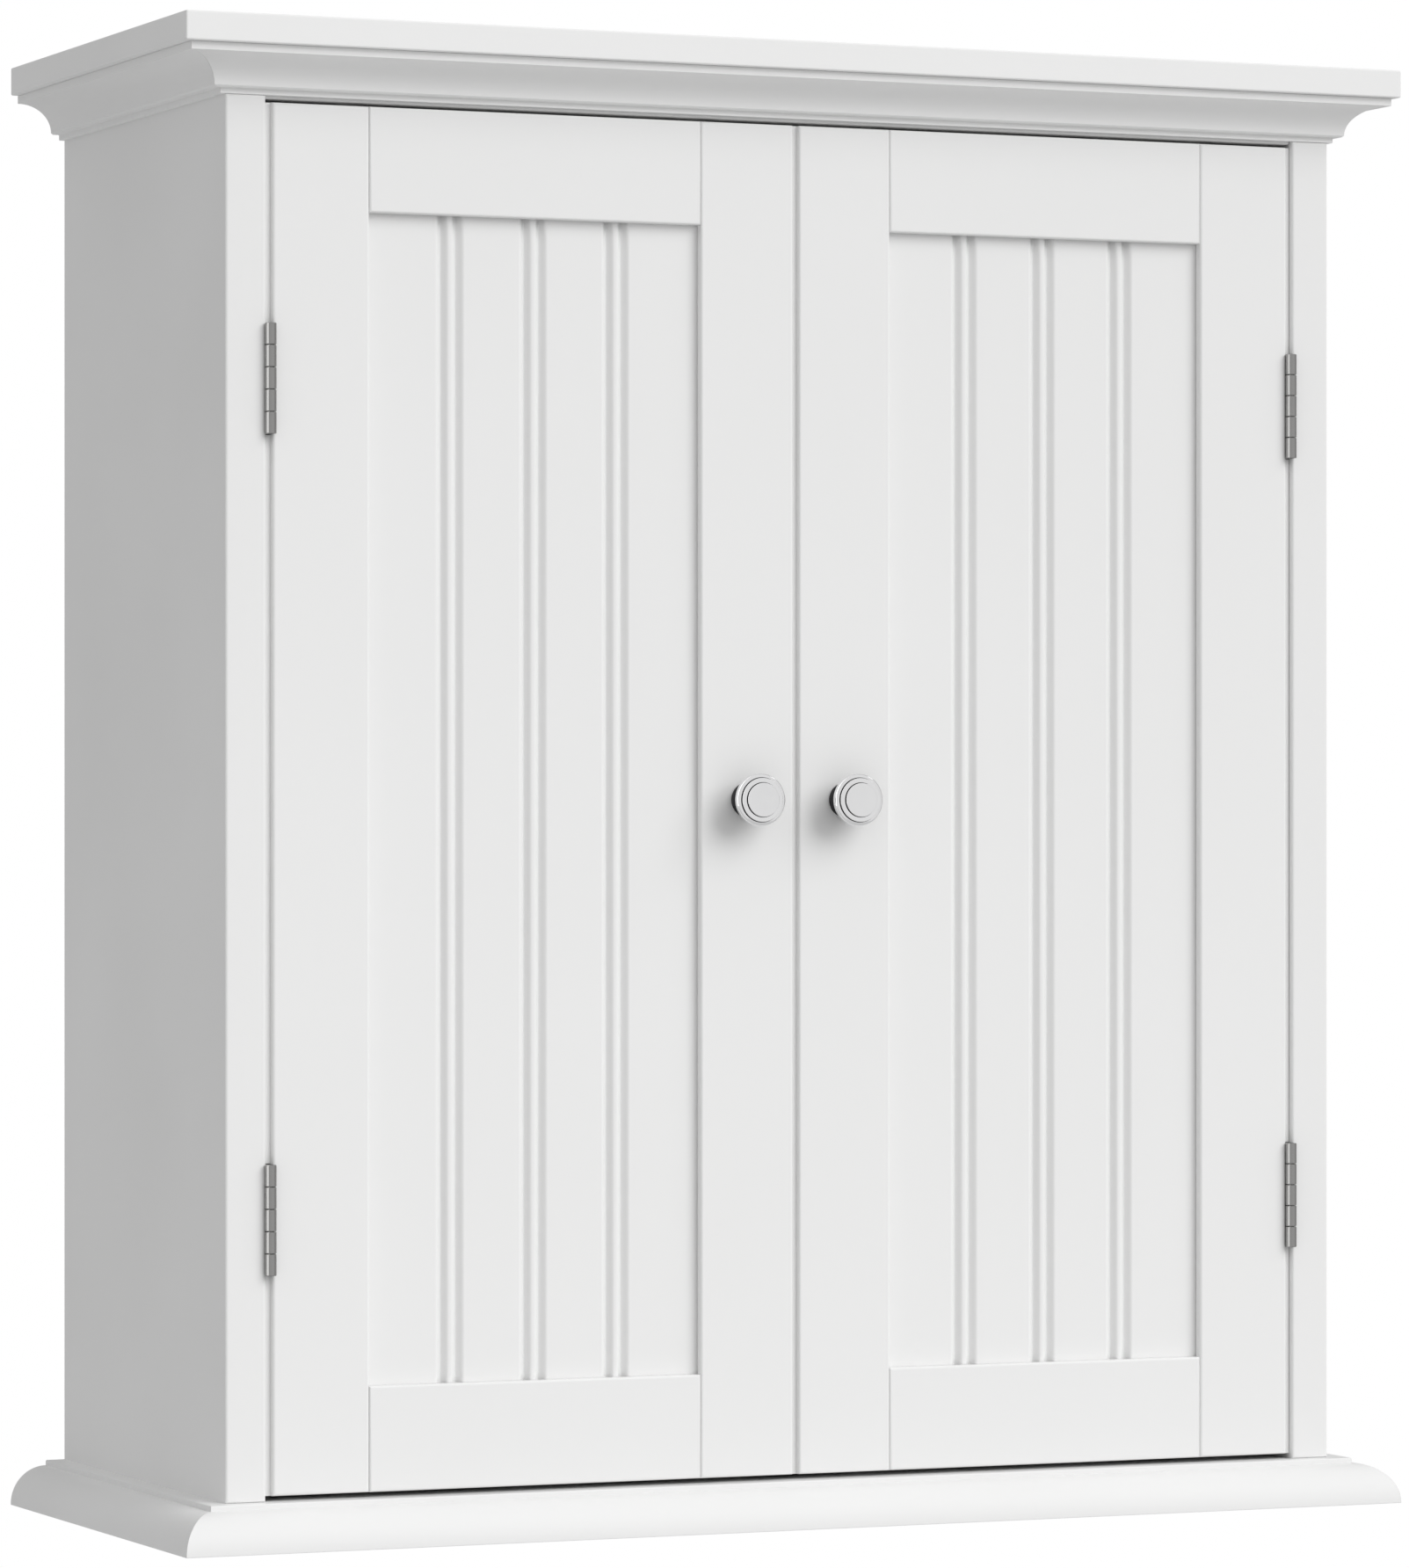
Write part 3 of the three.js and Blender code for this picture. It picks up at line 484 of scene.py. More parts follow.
base_low, base_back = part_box("base_front")
base_reach = base_back.y - base_low.y
crown_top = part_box("crown_front")[1].z
fillet_edge = 0.35 * mm
nose_start = 8.4 * mm
crown_section = rounded_corners([
    (0, crown_low),
    (2.44 * mm, crown_low, fillet_edge),
    (2.44 * mm, crown_low + 2.1 * mm),
    (2.9 * mm, crown_low + 2.35 * mm),
    (5.2 * mm, crown_low + 2.35 * mm, fillet_edge),
    *arc(20.3 * mm, crown_low + 3.0 * mm, 14.25 * mm, 11.9 * mm, 180, 90, 24),
    (20.8 * mm, crown_top - 3.25 * mm, 0.2 * mm),
    (20.8 * mm, crown_top),
    (0, crown_top),
])
base_section = rounded_corners([
    (0, 0),
    (base_reach, 0, 0.25 * mm),
    *arc(nose_start, 0.5 * mm, base_reach - nose_start, 15.8 * mm, 0, 90, 24),
    (nose_start, base_high, 0.6 * mm),
    (0, base_high),
])
body_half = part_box("side_panel_right")[1].x
moulding_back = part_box("crown_front")[1].y
mitre_gap = 0.08 * mm
wall_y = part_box("top_board")[1].y


def moulding(name, section, ends, paint):
    """A run of moulding: ends gives, for each point of the section, its place at either end."""
    shape = bmesh.new()
    rings = [[shape.verts.new(end(out, z)) for out, z in section] for end in ends]
    shape.faces.new(rings[0])
    shape.faces.new(rings[1])
    for i in range(len(section)):
        j = (i + 1) % len(section)
        shape.faces.new((rings[0][i], rings[0][j], rings[1][j], rings[1][i]))
    return shaded(made(name, shape, paint), 50)


def front_end(way):
    """Places the section at one end of the front length, cut to the mitre."""
    return lambda out, z: (way * (body_half + out - mitre_gap), moulding_back - out, z)


def mitred_end(way):
    return lambda out, z: (way * (body_half + out), moulding_back - out + mitre_gap, z)


def square_end(way):
    return lambda out, z: (way * (body_half + out), wall_y, z)


for kind, section, paint in (("crown", crown_section, moulding_paint), ("base", base_section, base_paint)):
    run = moulding(f"{kind}_moulding_front", section, (front_end(-1), front_end(1)), paint)
    fitted(run, f"{kind}_front", "cabinet")
    for side, way in (("left", -1), ("right", 1)):
        run = moulding(f"{kind}_moulding_{side}", section, (mitred_end(way), square_end(way)), paint)
        fitted(run, f"{kind}_{side}", "cabinet")

# ---- Door frames ---------------------------------------------------------------------------------
# Two stiles run the full height and two rails fit between them on stub tenons. All the inner edges
# are grooved for the panel, and the eased arrises leave a fine vee where stile and rail meet. A thin
# lip along each hinge stile, and along the right door's meeting stile, closes the gap beside it.


def carved(piece, joins=(), cuts=()):
    for operation, tools in (("UNION", joins), ("DIFFERENCE", cuts)):
        for tool in tools:
            step = piece.modifiers.new(operation.lower(), "BOOLEAN")
            step.operation = operation
            step.solver = "EXACT"
            step.object = tool
    settled(piece)
    for tool in (*joins, *cuts):
        bpy.data.objects.remove(tool)
    return piece


def block(low, high, material):
    return made("block", prism(rectangle(low, high), low[2], high[2], "z"), material)


def round_bar(radius, start, end, material, sides=40):
    """A cylinder between two points."""
    line = Vector(end) - Vector(start)
    shape = bmesh.new()
    bmesh.ops.create_cone(shape, cap_ends=True, segments=sides, radius1=radius, radius2=radius,
                          depth=line.length)
    turn = Vector((0, 0, 1)).rotation_difference(line).to_matrix().to_4x4()
    place = Matrix.Translation((Vector(start) + Vector(end)) / 2) @ turn
    bmesh.ops.transform(shape, verts=shape.verts, matrix=place)
    return made("bar", shape, material)


groove_slack = 0.3 * mm
tongue = 8 * mm
arris = 0.95 * mm
groove_arris = 0.3 * mm
hinge_arris = 1.2 * mm
door_gap = 2.95 * mm
lip_reach = door_gap - 0.2 * mm
lip_set_back = 2.7 * mm
lip_thick = 3 * mm
lip_play = 0.2 * mm
knob_hole = 2.3 * mm
for side, way in (("left", -1), ("right", 1)):
    body = f"door_{side}"
    panel_low, panel_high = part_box(f"door_{side}_bead_panel")
    groove_front, groove_back = panel_low.y - groove_slack, panel_high.y + groove_slack
    for kind, inward in (("hinge", -way), ("meeting", way)):
        node = f"door_{side}_{kind}_stile"
        low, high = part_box(node)
        inner, outer = (high.x, low.x) if inward > 0 else (low.x, high.x)
        has_lip = kind == "hinge" or side == "right"
        if has_lip:
            gap_side = -door_gap / 2
            if kind == "hinge":
                gap_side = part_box(f"side_panel_{side}")[0 if way > 0 else 1].x
            outer = gap_side + inward * door_gap
        floor_x = inner - inward * (tongue + groove_slack)
        outline = [
            (outer, low.y), (inner, low.y), (inner, groove_front), (floor_x, groove_front),
            (floor_x, groove_back), (inner, groove_back), (inner, high.y), (outer, high.y),
        ]
        lip_front, lip_back = low.y + lip_set_back, low.y + lip_set_back + lip_thick
        if has_lip:
            tip = outer - inward * lip_reach
            outline += [(outer, lip_back), (tip, lip_back), (tip, lip_front), (outer, lip_front)]
        shape = prism(outline, low.z, high.z, "z")
        groove_edge = between(groove_front - mm, groove_back + mm)
        ease(shape, groove_arris, groove_edge, 2)
        round_edge = hinge_arris if kind == "hinge" else arris
        ease(shape, round_edge, between(-math.inf, low.y + mm))
        stile = made(node + "_board", shape, door_paint)
        if kind == "hinge":
            notches = []
            for level in ("upper", "lower"):
                hinge_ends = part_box(f"hinge_{side}_{level}_cabinet_leaf")
                near, far = sorted((outer, outer - inward * door_gap))
                notches.append(block((near, lip_front - 0.5 * mm, hinge_ends[0].z - lip_play),
                                     (far, lip_back + 0.5 * mm, hinge_ends[1].z + lip_play), door_paint))
            carved(stile, cuts=notches)
        if kind == "meeting":
            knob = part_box(f"knob_screw_{side}")
            x, z = (knob[0].x + knob[1].x) / 2, (knob[0].z + knob[1].z) / 2
            drill = round_bar(knob_hole, (x, low.y - 5 * mm, z), (x, high.y + 5 * mm, z), door_paint)
            carved(stile, cuts=[drill])
        fitted(shaded(stile), node, body)
    shoulders = sorted((
        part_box(f"door_{side}_hinge_stile")[0 if way > 0 else 1].x,
        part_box(f"door_{side}_meeting_stile")[1 if way > 0 else 0].x,
    ))
    left_x, right_x = shoulders[0] + 0.1 * mm, shoulders[1] - 0.1 * mm
    for kind in ("top", "bottom"):
        node = f"door_{side}_{kind}_rail"
        low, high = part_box(node)
        inner, outer = (low.z, high.z) if kind == "top" else (high.z, low.z)
        into = 1 if kind == "top" else -1
        floor_z = inner + into * (tongue + groove_slack)
        outline = [
            (low.y, outer), (low.y, inner), (groove_front, inner), (groove_front, floor_z),
            (groove_back, floor_z), (groove_back, inner), (high.y, inner), (high.y, outer),
        ]
        shape = prism(outline, left_x, right_x, "x")
        ease(shape, arris, between(-math.inf, low.y + mm))
        tenon_z = sorted((floor_z + into * groove_slack, outer - into * 2 * mm))
        tenons = [
            block((x0, panel_low.y, tenon_z[0]), (x1, panel_high.y, tenon_z[1]), door_paint)
            for x0, x1 in ((low.x, left_x + 3 * mm), (right_x - 3 * mm, high.x))
        ]
        rail = carved(made(node + "_board", shape, door_paint), joins=tenons)
        fitted(shaded(rail), node, body)

# ---- Beaded panels -------------------------------------------------------------------------------
# One sheet each, routed to look like four narrow boards: a round bead between two soft grooves at
# each joint, their slopes sharpened half waves. It floats in the frame's grooves.

bead_half = 3.2 * mm
joint_half = 6.8 * mm
bead_depth = 2.6 * mm
groove_sharpness = 1.8


def beading_tree():
    tree, given = tree_with_inputs("beaded_sheet", (
        ("Size", "Vector"), ("Middle", "Vector"), ("Columns", "Int"), ("Board width", "Float"),
        ("Boards", "Float"), ("Bead half width", "Float"), ("Joint half width", "Float"),
        ("Depth", "Float"), ("Groove sharpness", "Float"), ("Paint", "Material"),
    ))

    def sum_of(operation, *terms, clamp=False):
        step = add_node(tree, "ShaderNodeMath", enumerate(terms), operation=operation, use_clamp=clamp)
        return step.outputs[0]

    sheet = add_node(tree, "GeometryNodeMeshCube", {
        "Size": given["Size"], "Vertices X": given["Columns"], "Vertices Y": 2, "Vertices Z": 2,
    })
    at = add_node(tree, "GeometryNodeInputPosition")
    split = add_node(tree, "ShaderNodeSeparateXYZ", {0: at.outputs[0]}).outputs
    boards = given["Boards"]
    across = sum_of("ADD", sum_of("DIVIDE", split["X"], given["Board width"]),
                    sum_of("DIVIDE", boards, 2.0))
    kept = sum_of("MINIMUM", sum_of("MAXIMUM", across, 0.5), sum_of("SUBTRACT", boards, 0.5))
    near = sum_of("ABSOLUTE", sum_of("SUBTRACT", sum_of("FRACT", sum_of("ADD", kept, 0.5)), 0.5))
    away = sum_of("MULTIPLY", near, given["Board width"])
    on_bead = sum_of("DIVIDE", away, given["Bead half width"])
    past_bead = sum_of("SUBTRACT", away, given["Bead half width"])
    shoulder = sum_of("SUBTRACT", given["Joint half width"], given["Bead half width"])
    on_shoulder = sum_of("DIVIDE", past_bead, shoulder, clamp=True)
    half_waves = sum_of("ADD", sum_of("MINIMUM", on_bead, 1.0), on_shoulder)
    wave = sum_of("COSINE", sum_of("MULTIPLY", half_waves, math.pi))
    swing = sum_of("DIVIDE", sum_of("SUBTRACT", 1.0, wave), 2.0)
    sharpened = sum_of("POWER", swing, given["Groove sharpness"])
    sunk = sum_of("MULTIPLY", sharpened, given["Depth"])
    shift = add_node(tree, "ShaderNodeCombineXYZ", {"Y": sunk})
    front = sum_of("LESS_THAN", split["Y"], 0.0)
    press = add_node(tree, "GeometryNodeSetPosition", {
        "Geometry": sheet.outputs["Mesh"], "Selection": front, "Offset": shift.outputs[0],
    })
    move = add_node(tree, "GeometryNodeTransform", {
        "Geometry": press.outputs[0], "Translation": given["Middle"],
    })
    real = add_node(tree, "GeometryNodeRealizeInstances", {0: move.outputs[0]})
    return ended(tree, real.outputs[0], given["Paint"])


beading = beading_tree()
for side in ("left", "right"):
    node = f"door_{side}_bead_panel"
    low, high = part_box(node)
    size = high - low
    panel = link(node + "_sheet", bpy.data.meshes.new(node + "_sheet"), door_paint)
    shown = size.x - 2 * tongue
    worked(panel, beading, {
        "Size": tuple(size), "Middle": tuple((low + high) / 2), "Columns": round(size.x / (0.2 * mm)),
        "Board width": shown / 4, "Boards": 4.0, "Bead half width": bead_half,
        "Joint half width": joint_half, "Depth": bead_depth, "Groove sharpness": groove_sharpness,
        "Paint": door_paint,
    })
    fitted(shaded(panel, 60), node, f"door_{side}")

# ---- Turned and plated metal ----------------------------------------------------------------------
# Knobs in bright chrome, hinges in polished nickel, and zinc-plated steel for what is out of sight.
# Each drifts a little in tone and gloss, over a very fine grain.


def plated(name, colour, gloss, spread, grain_mm, depth_mm):
    return finish(
        name, ([c * 0.96 for c in colour], [min(1, c * 1.03) for c in colour]),
        {"Scale": 1 / (6 * mm), "Detail": 3}, (gloss, gloss + spread),
        {"Scale": 1 / (grain_mm * mm), "Detail": 2}, (0.3, depth_mm * mm), {"Metallic": 1.0},
    )


nickel = plated("polished_nickel", (0.33, 0.327, 0.322), 0.12, 0.08, 0.5, 0.004)
chrome = plated("bright_chrome", (0.86, 0.86, 0.865), 0.06, 0.05, 0.6, 0.002)
zinc = plated("bright_zinc", (0.62, 0.64, 0.66), 0.28, 0.16, 0.9, 0.01)


def turned(name, profile, start, way, material, steps=64):
    """Spun round an axis from the point start: the profile is (radius, distance along way)."""
    shape = bmesh.new()
    centre, axis = Vector(start), Vector(way).normalized()
    side = axis.orthogonal().normalized()
    other = axis.cross(side)
    rings = []
    for radius, along in profile:
        if radius < 1e-7:
            rings.append([shape.verts.new(centre + axis * along)])
            continue
        rings.append([
            shape.verts.new(centre + axis * along + radius * (math.cos(a) * side + math.sin(a) * other))
            for a in (math.tau * step / steps for step in range(steps))
        ])
    closed = profile[0][0] > 1e-7
    pairs = list(zip(rings, rings[1:])) + ([(rings[-1], rings[0])] if closed else [])
    for first, second in pairs:
        for i in range(steps):
            j = (i + 1) % steps
            if len(first) == 1:
                shape.faces.new((first[0], second[i], second[j]))
            elif len(second) == 1:
                shape.faces.new((first[i], first[j], second[0]))
            else:
                shape.faces.new((first[i], first[j], second[j], second[i]))
    return made(name, shape, material)


# ---- Butt hinges ---------------------------------------------------------------------------------
# Two folded steel leaves with rolled knuckles on a loose pin, nickel-plated. Each leaf is held by two
# countersunk screws: one leaf on the side panel's inner face, the other on the door's edge.

barrel_radius = 2.375 * mm
leaf_clear = 0.35 * mm
knuckles = 5
knuckle_gap = 0.12 * mm
screw_hole = 1.6 * mm
screw_sink = 2.7 * mm
screw_spread = 14 * mm
screw_inset = 7.7 * mm
leaf_thick = 1.2 * mm
leaf_slack = 0.02 * mm
pin_bore = 1.2 * mm
hinge_screws = {"cabinet": [], "door_left": [], "door_right": []}


def level_at_back(back_y):
    """Picks the short level edges at a leaf's back corners."""
    at_back, upright = between(back_y - 1e-6, math.inf), running(2, 1e-6)
    return lambda edge: at_back(edge) and not upright(edge)


def knuckle(middle, half, material):
    lip = 0.4 * mm
    profile = [(pin_bore, -half)]
    profile += [(barrel_radius - lip + r, h - half + lip) for r, h in arc(0, 0, lip, lip, -90, 0, 5)]
    profile += [(barrel_radius - lip + r, half - lip + h) for r, h in arc(0, 0, lip, lip, 0, 90, 5)]
    profile += [(pin_bore, half)]
    return turned("knuckle", profile, middle, (0, 0, 1), material, 48)


for side, way in (("left", -1), ("right", 1)):
    for level in ("upper", "lower"):
        stem = f"hinge_{side}_{level}"
        pin_low, pin_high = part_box(f"{stem}_pin")
        axis = (pin_low + pin_high) / 2
        for role, first, outward, body in (
            ("cabinet_leaf", 0, way, "cabinet"), ("door_leaf", 1, -way, f"door_{side}"),
        ):
            node = f"{stem}_{role}"
            low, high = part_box(node)
            pitch = (high.z - low.z) / knuckles
            plate_start = axis.y + barrel_radius + leaf_clear
            panel_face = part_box(f"side_panel_{side}")[0 if way > 0 else 1].x
            stand_off = leaf_slack if role == "cabinet_leaf" else door_gap - leaf_slack
            face = panel_face - way * stand_off
            x0, x1 = sorted((face, face - outward * leaf_thick))
            plate_z = (axis.z - pitch * knuckles / 2, axis.z + pitch * knuckles / 2)
            shape = prism(rectangle((x0, plate_start), (x1, high.y)), *plate_z, "z")
            ease(shape, 1.6 * mm, level_at_back(high.y), 5)
            ease(shape, 0.15 * mm, steps=2)
            leaf = made(node + "_plate", shape, nickel)
            joins = []
            for n in range(first, knuckles, 2):
                z = plate_z[0] + (n + 0.5) * pitch
                half = (pitch - knuckle_gap) / 2
                joins.append(knuckle((axis.x, axis.y, z), half, nickel))
                joins.append(block((x0 + 0.02 * mm, axis.y, z - half + 0.3 * mm),
                                   (x1 - 0.02 * mm, plate_start + mm, z + half - 0.3 * mm), nickel))
            bore_ends = [(axis.x, axis.y, plate_z[0] - mm), (axis.x, axis.y, plate_z[1] + mm)]
            cuts = [round_bar(pin_bore, *bore_ends, nickel)]
            screw_y = plate_start + screw_inset
            open_face = face - outward * leaf_thick
            for step in (-1, 1):
                z = axis.z + step * screw_spread
                hole = [
                    (0, -0.2 * mm), (screw_hole, -0.2 * mm), (screw_hole, 0.25 * mm),
                    (screw_sink, 1.25 * mm), (screw_sink, 3 * mm), (0, 3 * mm),
                ]
                cuts.append(turned("sink", hole, (face, screw_y, z), (-outward, 0, 0), nickel, 32))
                hinge_screws[body].append(((open_face, screw_y, z), (-outward, 0, 0)))
            fitted(shaded(carved(leaf, joins, cuts), 32), node, body)
        half = (pin_high.z - pin_low.z) / 2
        radius = 1.1 * mm
        tip = arc(0, half - 0.5 * mm, radius, 0.5 * mm, 0, 90, 6)
        profile = [(0, -half)] + [(r, -h) for r, h in reversed(tip[:-1])] + tip[:-1] + [(0, half)]
        rod = shaded(turned(f"{stem}_pin_rod", profile, axis, (0, 0, 1), nickel, 32))
        fitted(rod, f"{stem}_pin", "cabinet")

# ---- Knobs ---------------------------------------------------------------------------------------
# Turned brass: a small flange, a waisted neck and a wide disc with two raised steps. The disc's faces
# are bright chrome. The flange, the neck, the back of the rim, the walls of the steps and the fine
# grooves at their feet are painted near-black: painted shade and painted dark reflection.

# A near-black metal that stands for painted shade and painted dark reflection on the knobs.
painted_shade_metal = plated("blackened_recess", (0.035, 0.035, 0.037), 0.32, 0.12, 0.4, 0.006)
for side in ("left", "right"):
    low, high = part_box(f"knob_{side}")
    base = Vector(((low.x + high.x) / 2, high.y, (low.z + high.z) / 2))
    rim = (high.x - low.x) / 2
    first_step, second_step, back_of_rim = 9.05 * mm, 7.0 * mm, 11.6 * mm
    ring_cut = 0.24 * mm
    profile = rounded_corners([
        (2.2 * mm, 9.0 * mm), (2.2 * mm, 0), (7.25 * mm, 0, 0.2 * mm), (7.25 * mm, 1.3 * mm, 0.5 * mm),
        (5.9 * mm, 2.3 * mm, 1.0 * mm), (4.5 * mm, 5.2 * mm, 3.0 * mm), (4.8 * mm, 9.0 * mm, 2.0 * mm),
        (7.6 * mm, 11.2 * mm, 2.0 * mm), (rim, 12.0 * mm, 0.6 * mm), (rim, 14.5 * mm, 1.0 * mm),
        (first_step + ring_cut, 14.8 * mm), (first_step + ring_cut, 14.6 * mm), (first_step, 14.6 * mm),
        (first_step, 15.85 * mm, 0.22 * mm),
        (second_step + ring_cut, 15.95 * mm), (second_step + ring_cut, 15.75 * mm), (second_step, 15.75 * mm),
        (second_step, 16.95 * mm, 0.22 * mm), (3.0 * mm, 17.0 * mm),
    ], steps=6)
    profile = [(0, 9.0 * mm), *profile, (0, 17.0 * mm)]
    knob = shaded(turned(f"knob_{side}_turned", profile, base, (0, -1, 0), chrome, 96), 32)
    # Painted shade: the faces behind the rim, the step walls and the grooves take the near-black metal.
    knob.data.materials.append(painted_shade_metal)
    for face in knob.data.polygons:
        out = base.y - face.center.y
        radius = math.hypot(face.center.x - base.x, face.center.z - base.z)
        step_wall = abs(face.normal.y) < 0.2 and out > 14.55 * mm
        groove = any(0 < radius - step < ring_cut and out < level for step, level in
                     ((first_step, 14.7 * mm), (second_step, 15.85 * mm)))
        if step_wall or groove or out < back_of_rim:
            face.material_index = 1
    fitted(knob, f"knob_{side}", f"door_{side}")

# ---- Small screws --------------------------------------------------------------------------------
# Zinc-plated, cross-recessed heads: countersunk in the hinges, catches, strikes and hangers. Each is
# left at whatever turn it stopped at.


def screw_head(name, radius, material):
    """A countersunk head with a cross recess, its flat top at the origin and facing +z."""
    arm, reach_out, deep = radius * 0.17, radius * 0.6, radius * 0.42
    cross = [
        (arm, arm), (arm, reach_out), (-arm, reach_out), (-arm, arm), (-reach_out, arm), (-reach_out, -arm),
        (-arm, -arm), (-arm, -reach_out), (arm, -reach_out), (arm, -arm), (reach_out, -arm), (reach_out, arm),
    ]
    shape = bmesh.new()
    steps = 24
    shank, neck_deep, foot_deep = radius * 0.45, radius * 0.5, radius * 1.6
    turns = [math.tau * step / steps for step in range(steps)]
    rim, neck, foot = (
        [shape.verts.new((wide * math.cos(a), wide * math.sin(a), -down)) for a in turns]
        for wide, down in ((radius, 0), (shank, neck_deep), (shank, foot_deep))
    )
    mouth = [shape.verts.new((x, y, 0)) for x, y in cross]
    well = [shape.verts.new((x * 0.55, y * 0.55, -deep)) for x, y in cross]
    top_edges = [
        shape.edges.new((ring[i], ring[(i + 1) % len(ring)]))
        for ring in (rim, mouth) for i in range(len(ring))
    ]
    bmesh.ops.triangle_fill(shape, use_beauty=True, edges=top_edges)
    for upper, lower in ((rim, neck), (neck, foot), (mouth, well)):
        for i in range(len(upper)):
            j = (i + 1) % len(upper)
            shape.faces.new((upper[i], upper[j], lower[j], lower[i]))
    shape.faces.new(foot)
    shape.faces.new(well)
    return made(name, shape, material)


def screws_tree():
    tree, given = tree_with_inputs("screws_in_holes", (
        ("Holes", "Geometry"), ("Screw", "Object"), ("Size", "Float"), ("Seed", "Int"),
        ("Metal", "Material"),
    ))
    facing = add_node(tree, "GeometryNodeInputNamedAttribute", {
        "Name": "facing",
    }, data_type="FLOAT_VECTOR")
    aim = add_node(tree, "FunctionNodeAlignRotationToVector", {
        "Vector": facing.outputs["Attribute"],
    }, axis="Z")
    chance = add_node(tree, "FunctionNodeRandomValue", {"Seed": given["Seed"]}, data_type="FLOAT")
    chance.inputs["Max"].default_value = math.tau
    spin = add_node(tree, "ShaderNodeCombineXYZ", {"Z": chance.outputs["Value"]})
    to_turn = add_node(tree, "FunctionNodeEulerToRotation", {0: spin.outputs[0]})
    both = add_node(tree, "FunctionNodeRotateRotation", {
        "Rotation": aim.outputs[0], "Rotate By": to_turn.outputs[0],
    }, rotation_space="LOCAL")
    source = add_node(tree, "GeometryNodeObjectInfo", {"Object": given["Screw"]})
    put = add_node(tree, "GeometryNodeInstanceOnPoints", {
        "Points": given["Holes"], "Instance": source.outputs["Geometry"],
        "Rotation": both.outputs[0], "Scale": given["Size"],
    })
    real = add_node(tree, "GeometryNodeRealizeInstances", {0: put.outputs[0]})
    return ended(tree, real.outputs[0], given["Metal"])


screwing = screws_tree()
pattern_screw = screw_head("pattern_screw", 1 * mm, zinc)


def drive_screws(name, places, radius_mm, body, metal, seed):
    """Puts a screw at each (point, facing) of the list, all in one mesh for the body they are in."""
    mesh = bpy.data.meshes.new(name)
    mesh.from_pydata([point for point, _ in places], [], [])
    facing = mesh.attributes.new("facing", "FLOAT_VECTOR", "POINT")
    facing.data.foreach_set("vector", [value for _, way in places for value in way])
    holes = link(name, mesh, metal)
    worked(holes, screwing, {"Screw": pattern_screw, "Size": radius_mm, "Seed": seed, "Metal": metal})
    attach(holes, body)
    return holes


for seed, (body, places) in enumerate(hinge_screws.items()):
    drive_screws(f"hinge_screws_in_{body}", places, 2.6, body, nickel, seed)

# ---- Knob screws ---------------------------------------------------------------------------------
# A pan-head machine screw through each meeting stile, seen from inside the cabinet.

for side in ("left", "right"):
    low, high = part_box(f"knob_screw_{side}")
    stile_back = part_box(f"door_{side}_meeting_stile")[1].y
    base = Vector(((low.x + high.x) / 2, stile_back, (low.z + high.z) / 2))
    length = stile_back - low.y
    head = [(r, h) for r, h in arc(0, -0.1 * mm, 3.9 * mm, 2.45 * mm, 0, -80, 8)]
    profile = [(0, -2.55 * mm), *reversed(head), (2.0 * mm, -0.1 * mm), (2.0 * mm, length - 0.6 * mm),
               (1.4 * mm, length), (0, length)]
    pan = shaded(turned(f"knob_screw_{side}_pan_head", profile, base, (0, -1, 0), zinc, 48), 40)
    arm, half = 0.45 * mm, 2.2 * mm
    slots = []
    for wide, tall in ((arm, half), (half, arm)):
        slots.append(block((base.x - wide, stile_back + 1.3 * mm, base.z - tall),
                           (base.x + wide, stile_back + 4 * mm, base.z + tall), zinc))
    fitted(shaded(carved(pan, cuts=slots), 40), f"knob_screw_{side}", f"door_{side}")

# ---- Magnetic catches ----------------------------------------------------------------------------
# A moulded white case under the inner top holds a bar magnet between two steel plates. A thin steel
# strike is screwed to the back of each door's meeting stile.

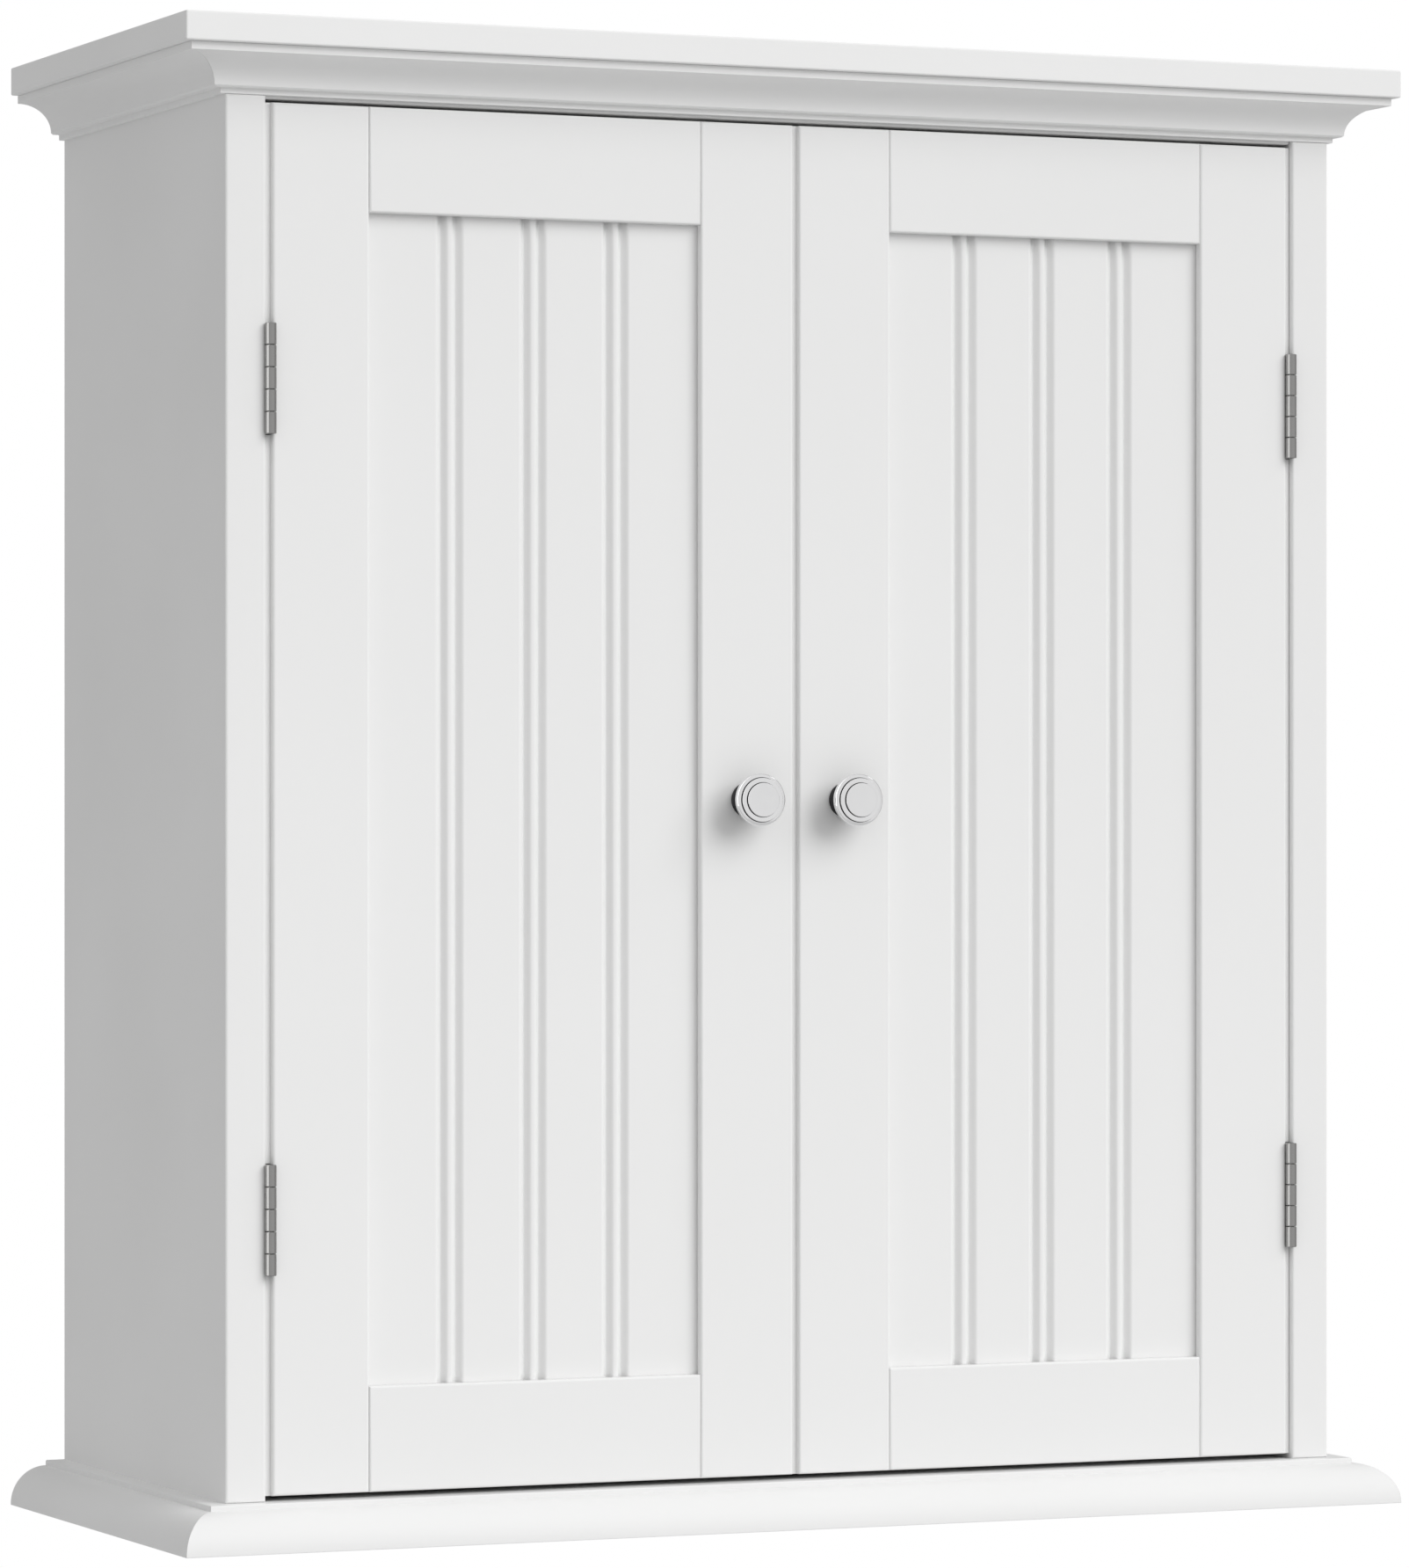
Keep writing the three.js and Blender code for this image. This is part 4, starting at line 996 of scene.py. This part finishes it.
catch_plastic = finish(
    "catch_white_plastic", ((0.74, 0.73, 0.69), (0.78, 0.77, 0.74)), {"Scale": 120}, None,
    {"Scale": 1 / (0.35 * mm)}, (0.4, 0.02 * mm), {"Roughness": 0.48},
)
catch_ear = 9 * mm
catch_screws = []
for side in ("left", "right"):
    low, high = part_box(f"catch_body_{side}")
    case_shape = prism(rectangle((low.x + catch_ear, low.y), (high.x - catch_ear, high.y)), low.z, high.z, "z")
    ease(case_shape, 0.8 * mm)
    case = made(f"catch_body_{side}_case", case_shape, catch_plastic)
    lug_outline = rectangle((low.x, low.y + 3 * mm), (high.x, high.y - 3 * mm))
    lug_shape = prism(lug_outline, high.z - 2.9 * mm, high.z, "z")
    ease(lug_shape, 3.2 * mm, running(2, mm), 6)
    lug = made("lug", lug_shape, catch_plastic)
    middle_y = (low.y + high.y) / 2
    cuts = []
    for x in (low.x + 4.5 * mm, high.x - 4.5 * mm):
        hole_ends = [(x, middle_y, high.z - 5 * mm), (x, middle_y, high.z + 5 * mm)]
        cuts.append(round_bar(1.8 * mm, *hole_ends, catch_plastic))
        catch_screws.append(((x, middle_y, high.z - 3.1 * mm), (0, 0, -1)))
    mouth_z = (low.z + high.z) / 2
    cuts.append(block((low.x + catch_ear + 2 * mm, low.y - mm, mouth_z - 3.2 * mm),
                      (high.x - catch_ear - 2 * mm, low.y + 2 * mm, mouth_z + 3.2 * mm), catch_plastic))
    fitted(shaded(carved(case, [lug], cuts), 40), f"catch_body_{side}", "cabinet")
    for step in (-1, 1):
        z = mouth_z + step * 1.9 * mm
        pole_outline = rectangle(
            (low.x + catch_ear + 2.6 * mm, low.y + 0.15 * mm),
            (high.x - catch_ear - 2.6 * mm, low.y + 8 * mm),
        )
        plate_shape = prism(pole_outline, z - 0.6 * mm, z + 0.6 * mm, "z")
        ease(plate_shape, 0.2 * mm, steps=2)
        name = f"catch_pole_{side}_{'upper' if step > 0 else 'lower'}"
        pole = shaded(made(name, plate_shape, zinc))
        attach(pole, "cabinet")
    low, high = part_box(f"catch_strike_{side}")
    strike_shape = prism(rectangle((low.x, low.z), (high.x, high.z)), low.y, high.y, "y")
    ease(strike_shape, 3 * mm, running(1, 0.5 * mm), 6)
    ease(strike_shape, 0.25 * mm, lambda edge: max(v.co.y for v in edge.verts) > high.y - 1e-6, 2)
    strike = made(f"catch_strike_{side}_plate", strike_shape, zinc)
    z = (low.z + high.z) / 2
    spots = [(x, high.y, z) for x in (low.x + 5 * mm, high.x - 5 * mm)]
    sink = [
        (0, -3 * mm), (1.7 * mm, -3 * mm), (1.7 * mm, -0.9 * mm),
        (2.6 * mm, 0.01 * mm), (2.6 * mm, mm), (0, mm),
    ]
    cuts = [turned("sink", sink, spot, (0, 1, 0), zinc, 32) for spot in spots]
    fitted(shaded(carved(strike, cuts=cuts), 40), f"catch_strike_{side}", f"door_{side}")
    places = [(spot, (0, 1, 0)) for spot in spots]
    drive_screws(f"strike_screws_{side}", places, 2.5, f"door_{side}", zinc, 11)
drive_screws("catch_screws", catch_screws, 3.0, "cabinet", zinc, 7)

# ---- Shelf pins ----------------------------------------------------------------------------------
# Turned steel pins, zinc-plated: a spigot in the hole, a thin collar and a peg under the shelf.

for level in ("lower", "upper"):
    for side, way in (("left", 1), ("right", -1)):
        for row in ("front", "back"):
            node = f"shelf_pin_{level}_{side}_{row}"
            low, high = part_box(node)
            wall_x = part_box(f"side_panel_{side}")[1 if way > 0 else 0].x
            start = Vector((wall_x, (low.y + high.y) / 2, (low.z + high.z) / 2))
            collar = (high.z - low.z) / 2
            profile = rounded_corners([
                (0, -8.5 * mm), (2.4 * mm, -8.5 * mm, 0.5 * mm), (2.4 * mm, 0.1 * mm),
                (collar, 0.1 * mm, 0.2 * mm), (collar, 1.2 * mm, 0.3 * mm), (2.4 * mm, 1.2 * mm),
                (2.4 * mm, 9.0 * mm, 0.9 * mm), (0, 9.0 * mm),
            ])
            pin = shaded(turned(node + "_turned", profile, start, (way, 0, 0), zinc, 32), 40)
            fitted(pin, node, "cabinet")

# ---- Hanging rail and keyhole hangers --------------------------------------------------------------
# A stout rail across the back, pocketed for two pressed-steel keyhole plates that drop over screws
# in the wall. Each plate is let in flush and held by a screw at either end.

low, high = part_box("hanging_rail")
shape = prism(rectangle((low.x, low.z), (high.x, high.z)), low.y, high.y, "y")
ease(shape, board_arris)
rail = made("hanging_rail_board", shape, inside_paint)
pockets = []
hanger_screws = []
for side in ("left", "right"):
    plate_low, plate_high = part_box(f"wall_hanger_{side}")
    x, z = (plate_low.x + plate_high.x) / 2, (plate_low.z + plate_high.z) / 2
    wide, tall = (plate_high.x - plate_low.x) / 2, (plate_high.z - plate_low.z) / 2
    pockets.append(block((x - wide - 0.3 * mm, plate_low.y - 0.3 * mm, z - tall - 0.3 * mm),
                         (x + wide + 0.3 * mm, high.y + mm, z + tall + 0.3 * mm), inside_paint))
    pockets.append(block((x - 6 * mm, high.y - 8 * mm, z - 12 * mm),
                         (x + 6 * mm, high.y + mm, z + 12 * mm), inside_paint))
    upper_end = arc(x, z + tall - wide, wide, wide, 0, 180, 16)
    stadium = upper_end + arc(x, z - tall + wide, wide, wide, 180, 360, 16)
    plate_shape = prism(stadium, plate_low.y, plate_high.y, "y")
    ease(plate_shape, 0.3 * mm, between(plate_high.y - 1e-6, math.inf), 3)
    plate = made(f"wall_hanger_{side}_plate", plate_shape, zinc)
    back_y, front_y = plate_high.y + mm, plate_low.y - mm
    cuts = [
        round_bar(5 * mm, (x, front_y, z - 6 * mm), (x, back_y, z - 6 * mm), zinc, 48),
        round_bar(2.4 * mm, (x, front_y, z + 6 * mm), (x, back_y, z + 6 * mm), zinc, 32),
        block((x - 2.4 * mm, front_y, z - 6 * mm), (x + 2.4 * mm, back_y, z + 6 * mm), zinc),
    ]
    for step in (-1, 1):
        spot = Vector((x, plate_high.y, z + step * (tall - 6 * mm)))
        sink = [
            (0, -3 * mm), (1.8 * mm, -3 * mm), (1.8 * mm, -1.2 * mm),
            (3.1 * mm, 0.01 * mm), (3.1 * mm, mm), (0, mm),
        ]
        cuts.append(turned("sink", sink, spot, (0, 1, 0), zinc, 32))
        hanger_screws.append((tuple(spot - Vector((0, 0.1 * mm, 0))), (0, 1, 0)))
    fitted(shaded(carved(plate, cuts=cuts), 40), f"wall_hanger_{side}", "cabinet")
fitted(shaded(carved(rail, cuts=pockets), 40), "hanging_rail", "cabinet")
drive_screws("hanger_screws", hanger_screws, 3.0, "cabinet", zinc, 5)

bpy.data.objects.remove(pattern_screw)
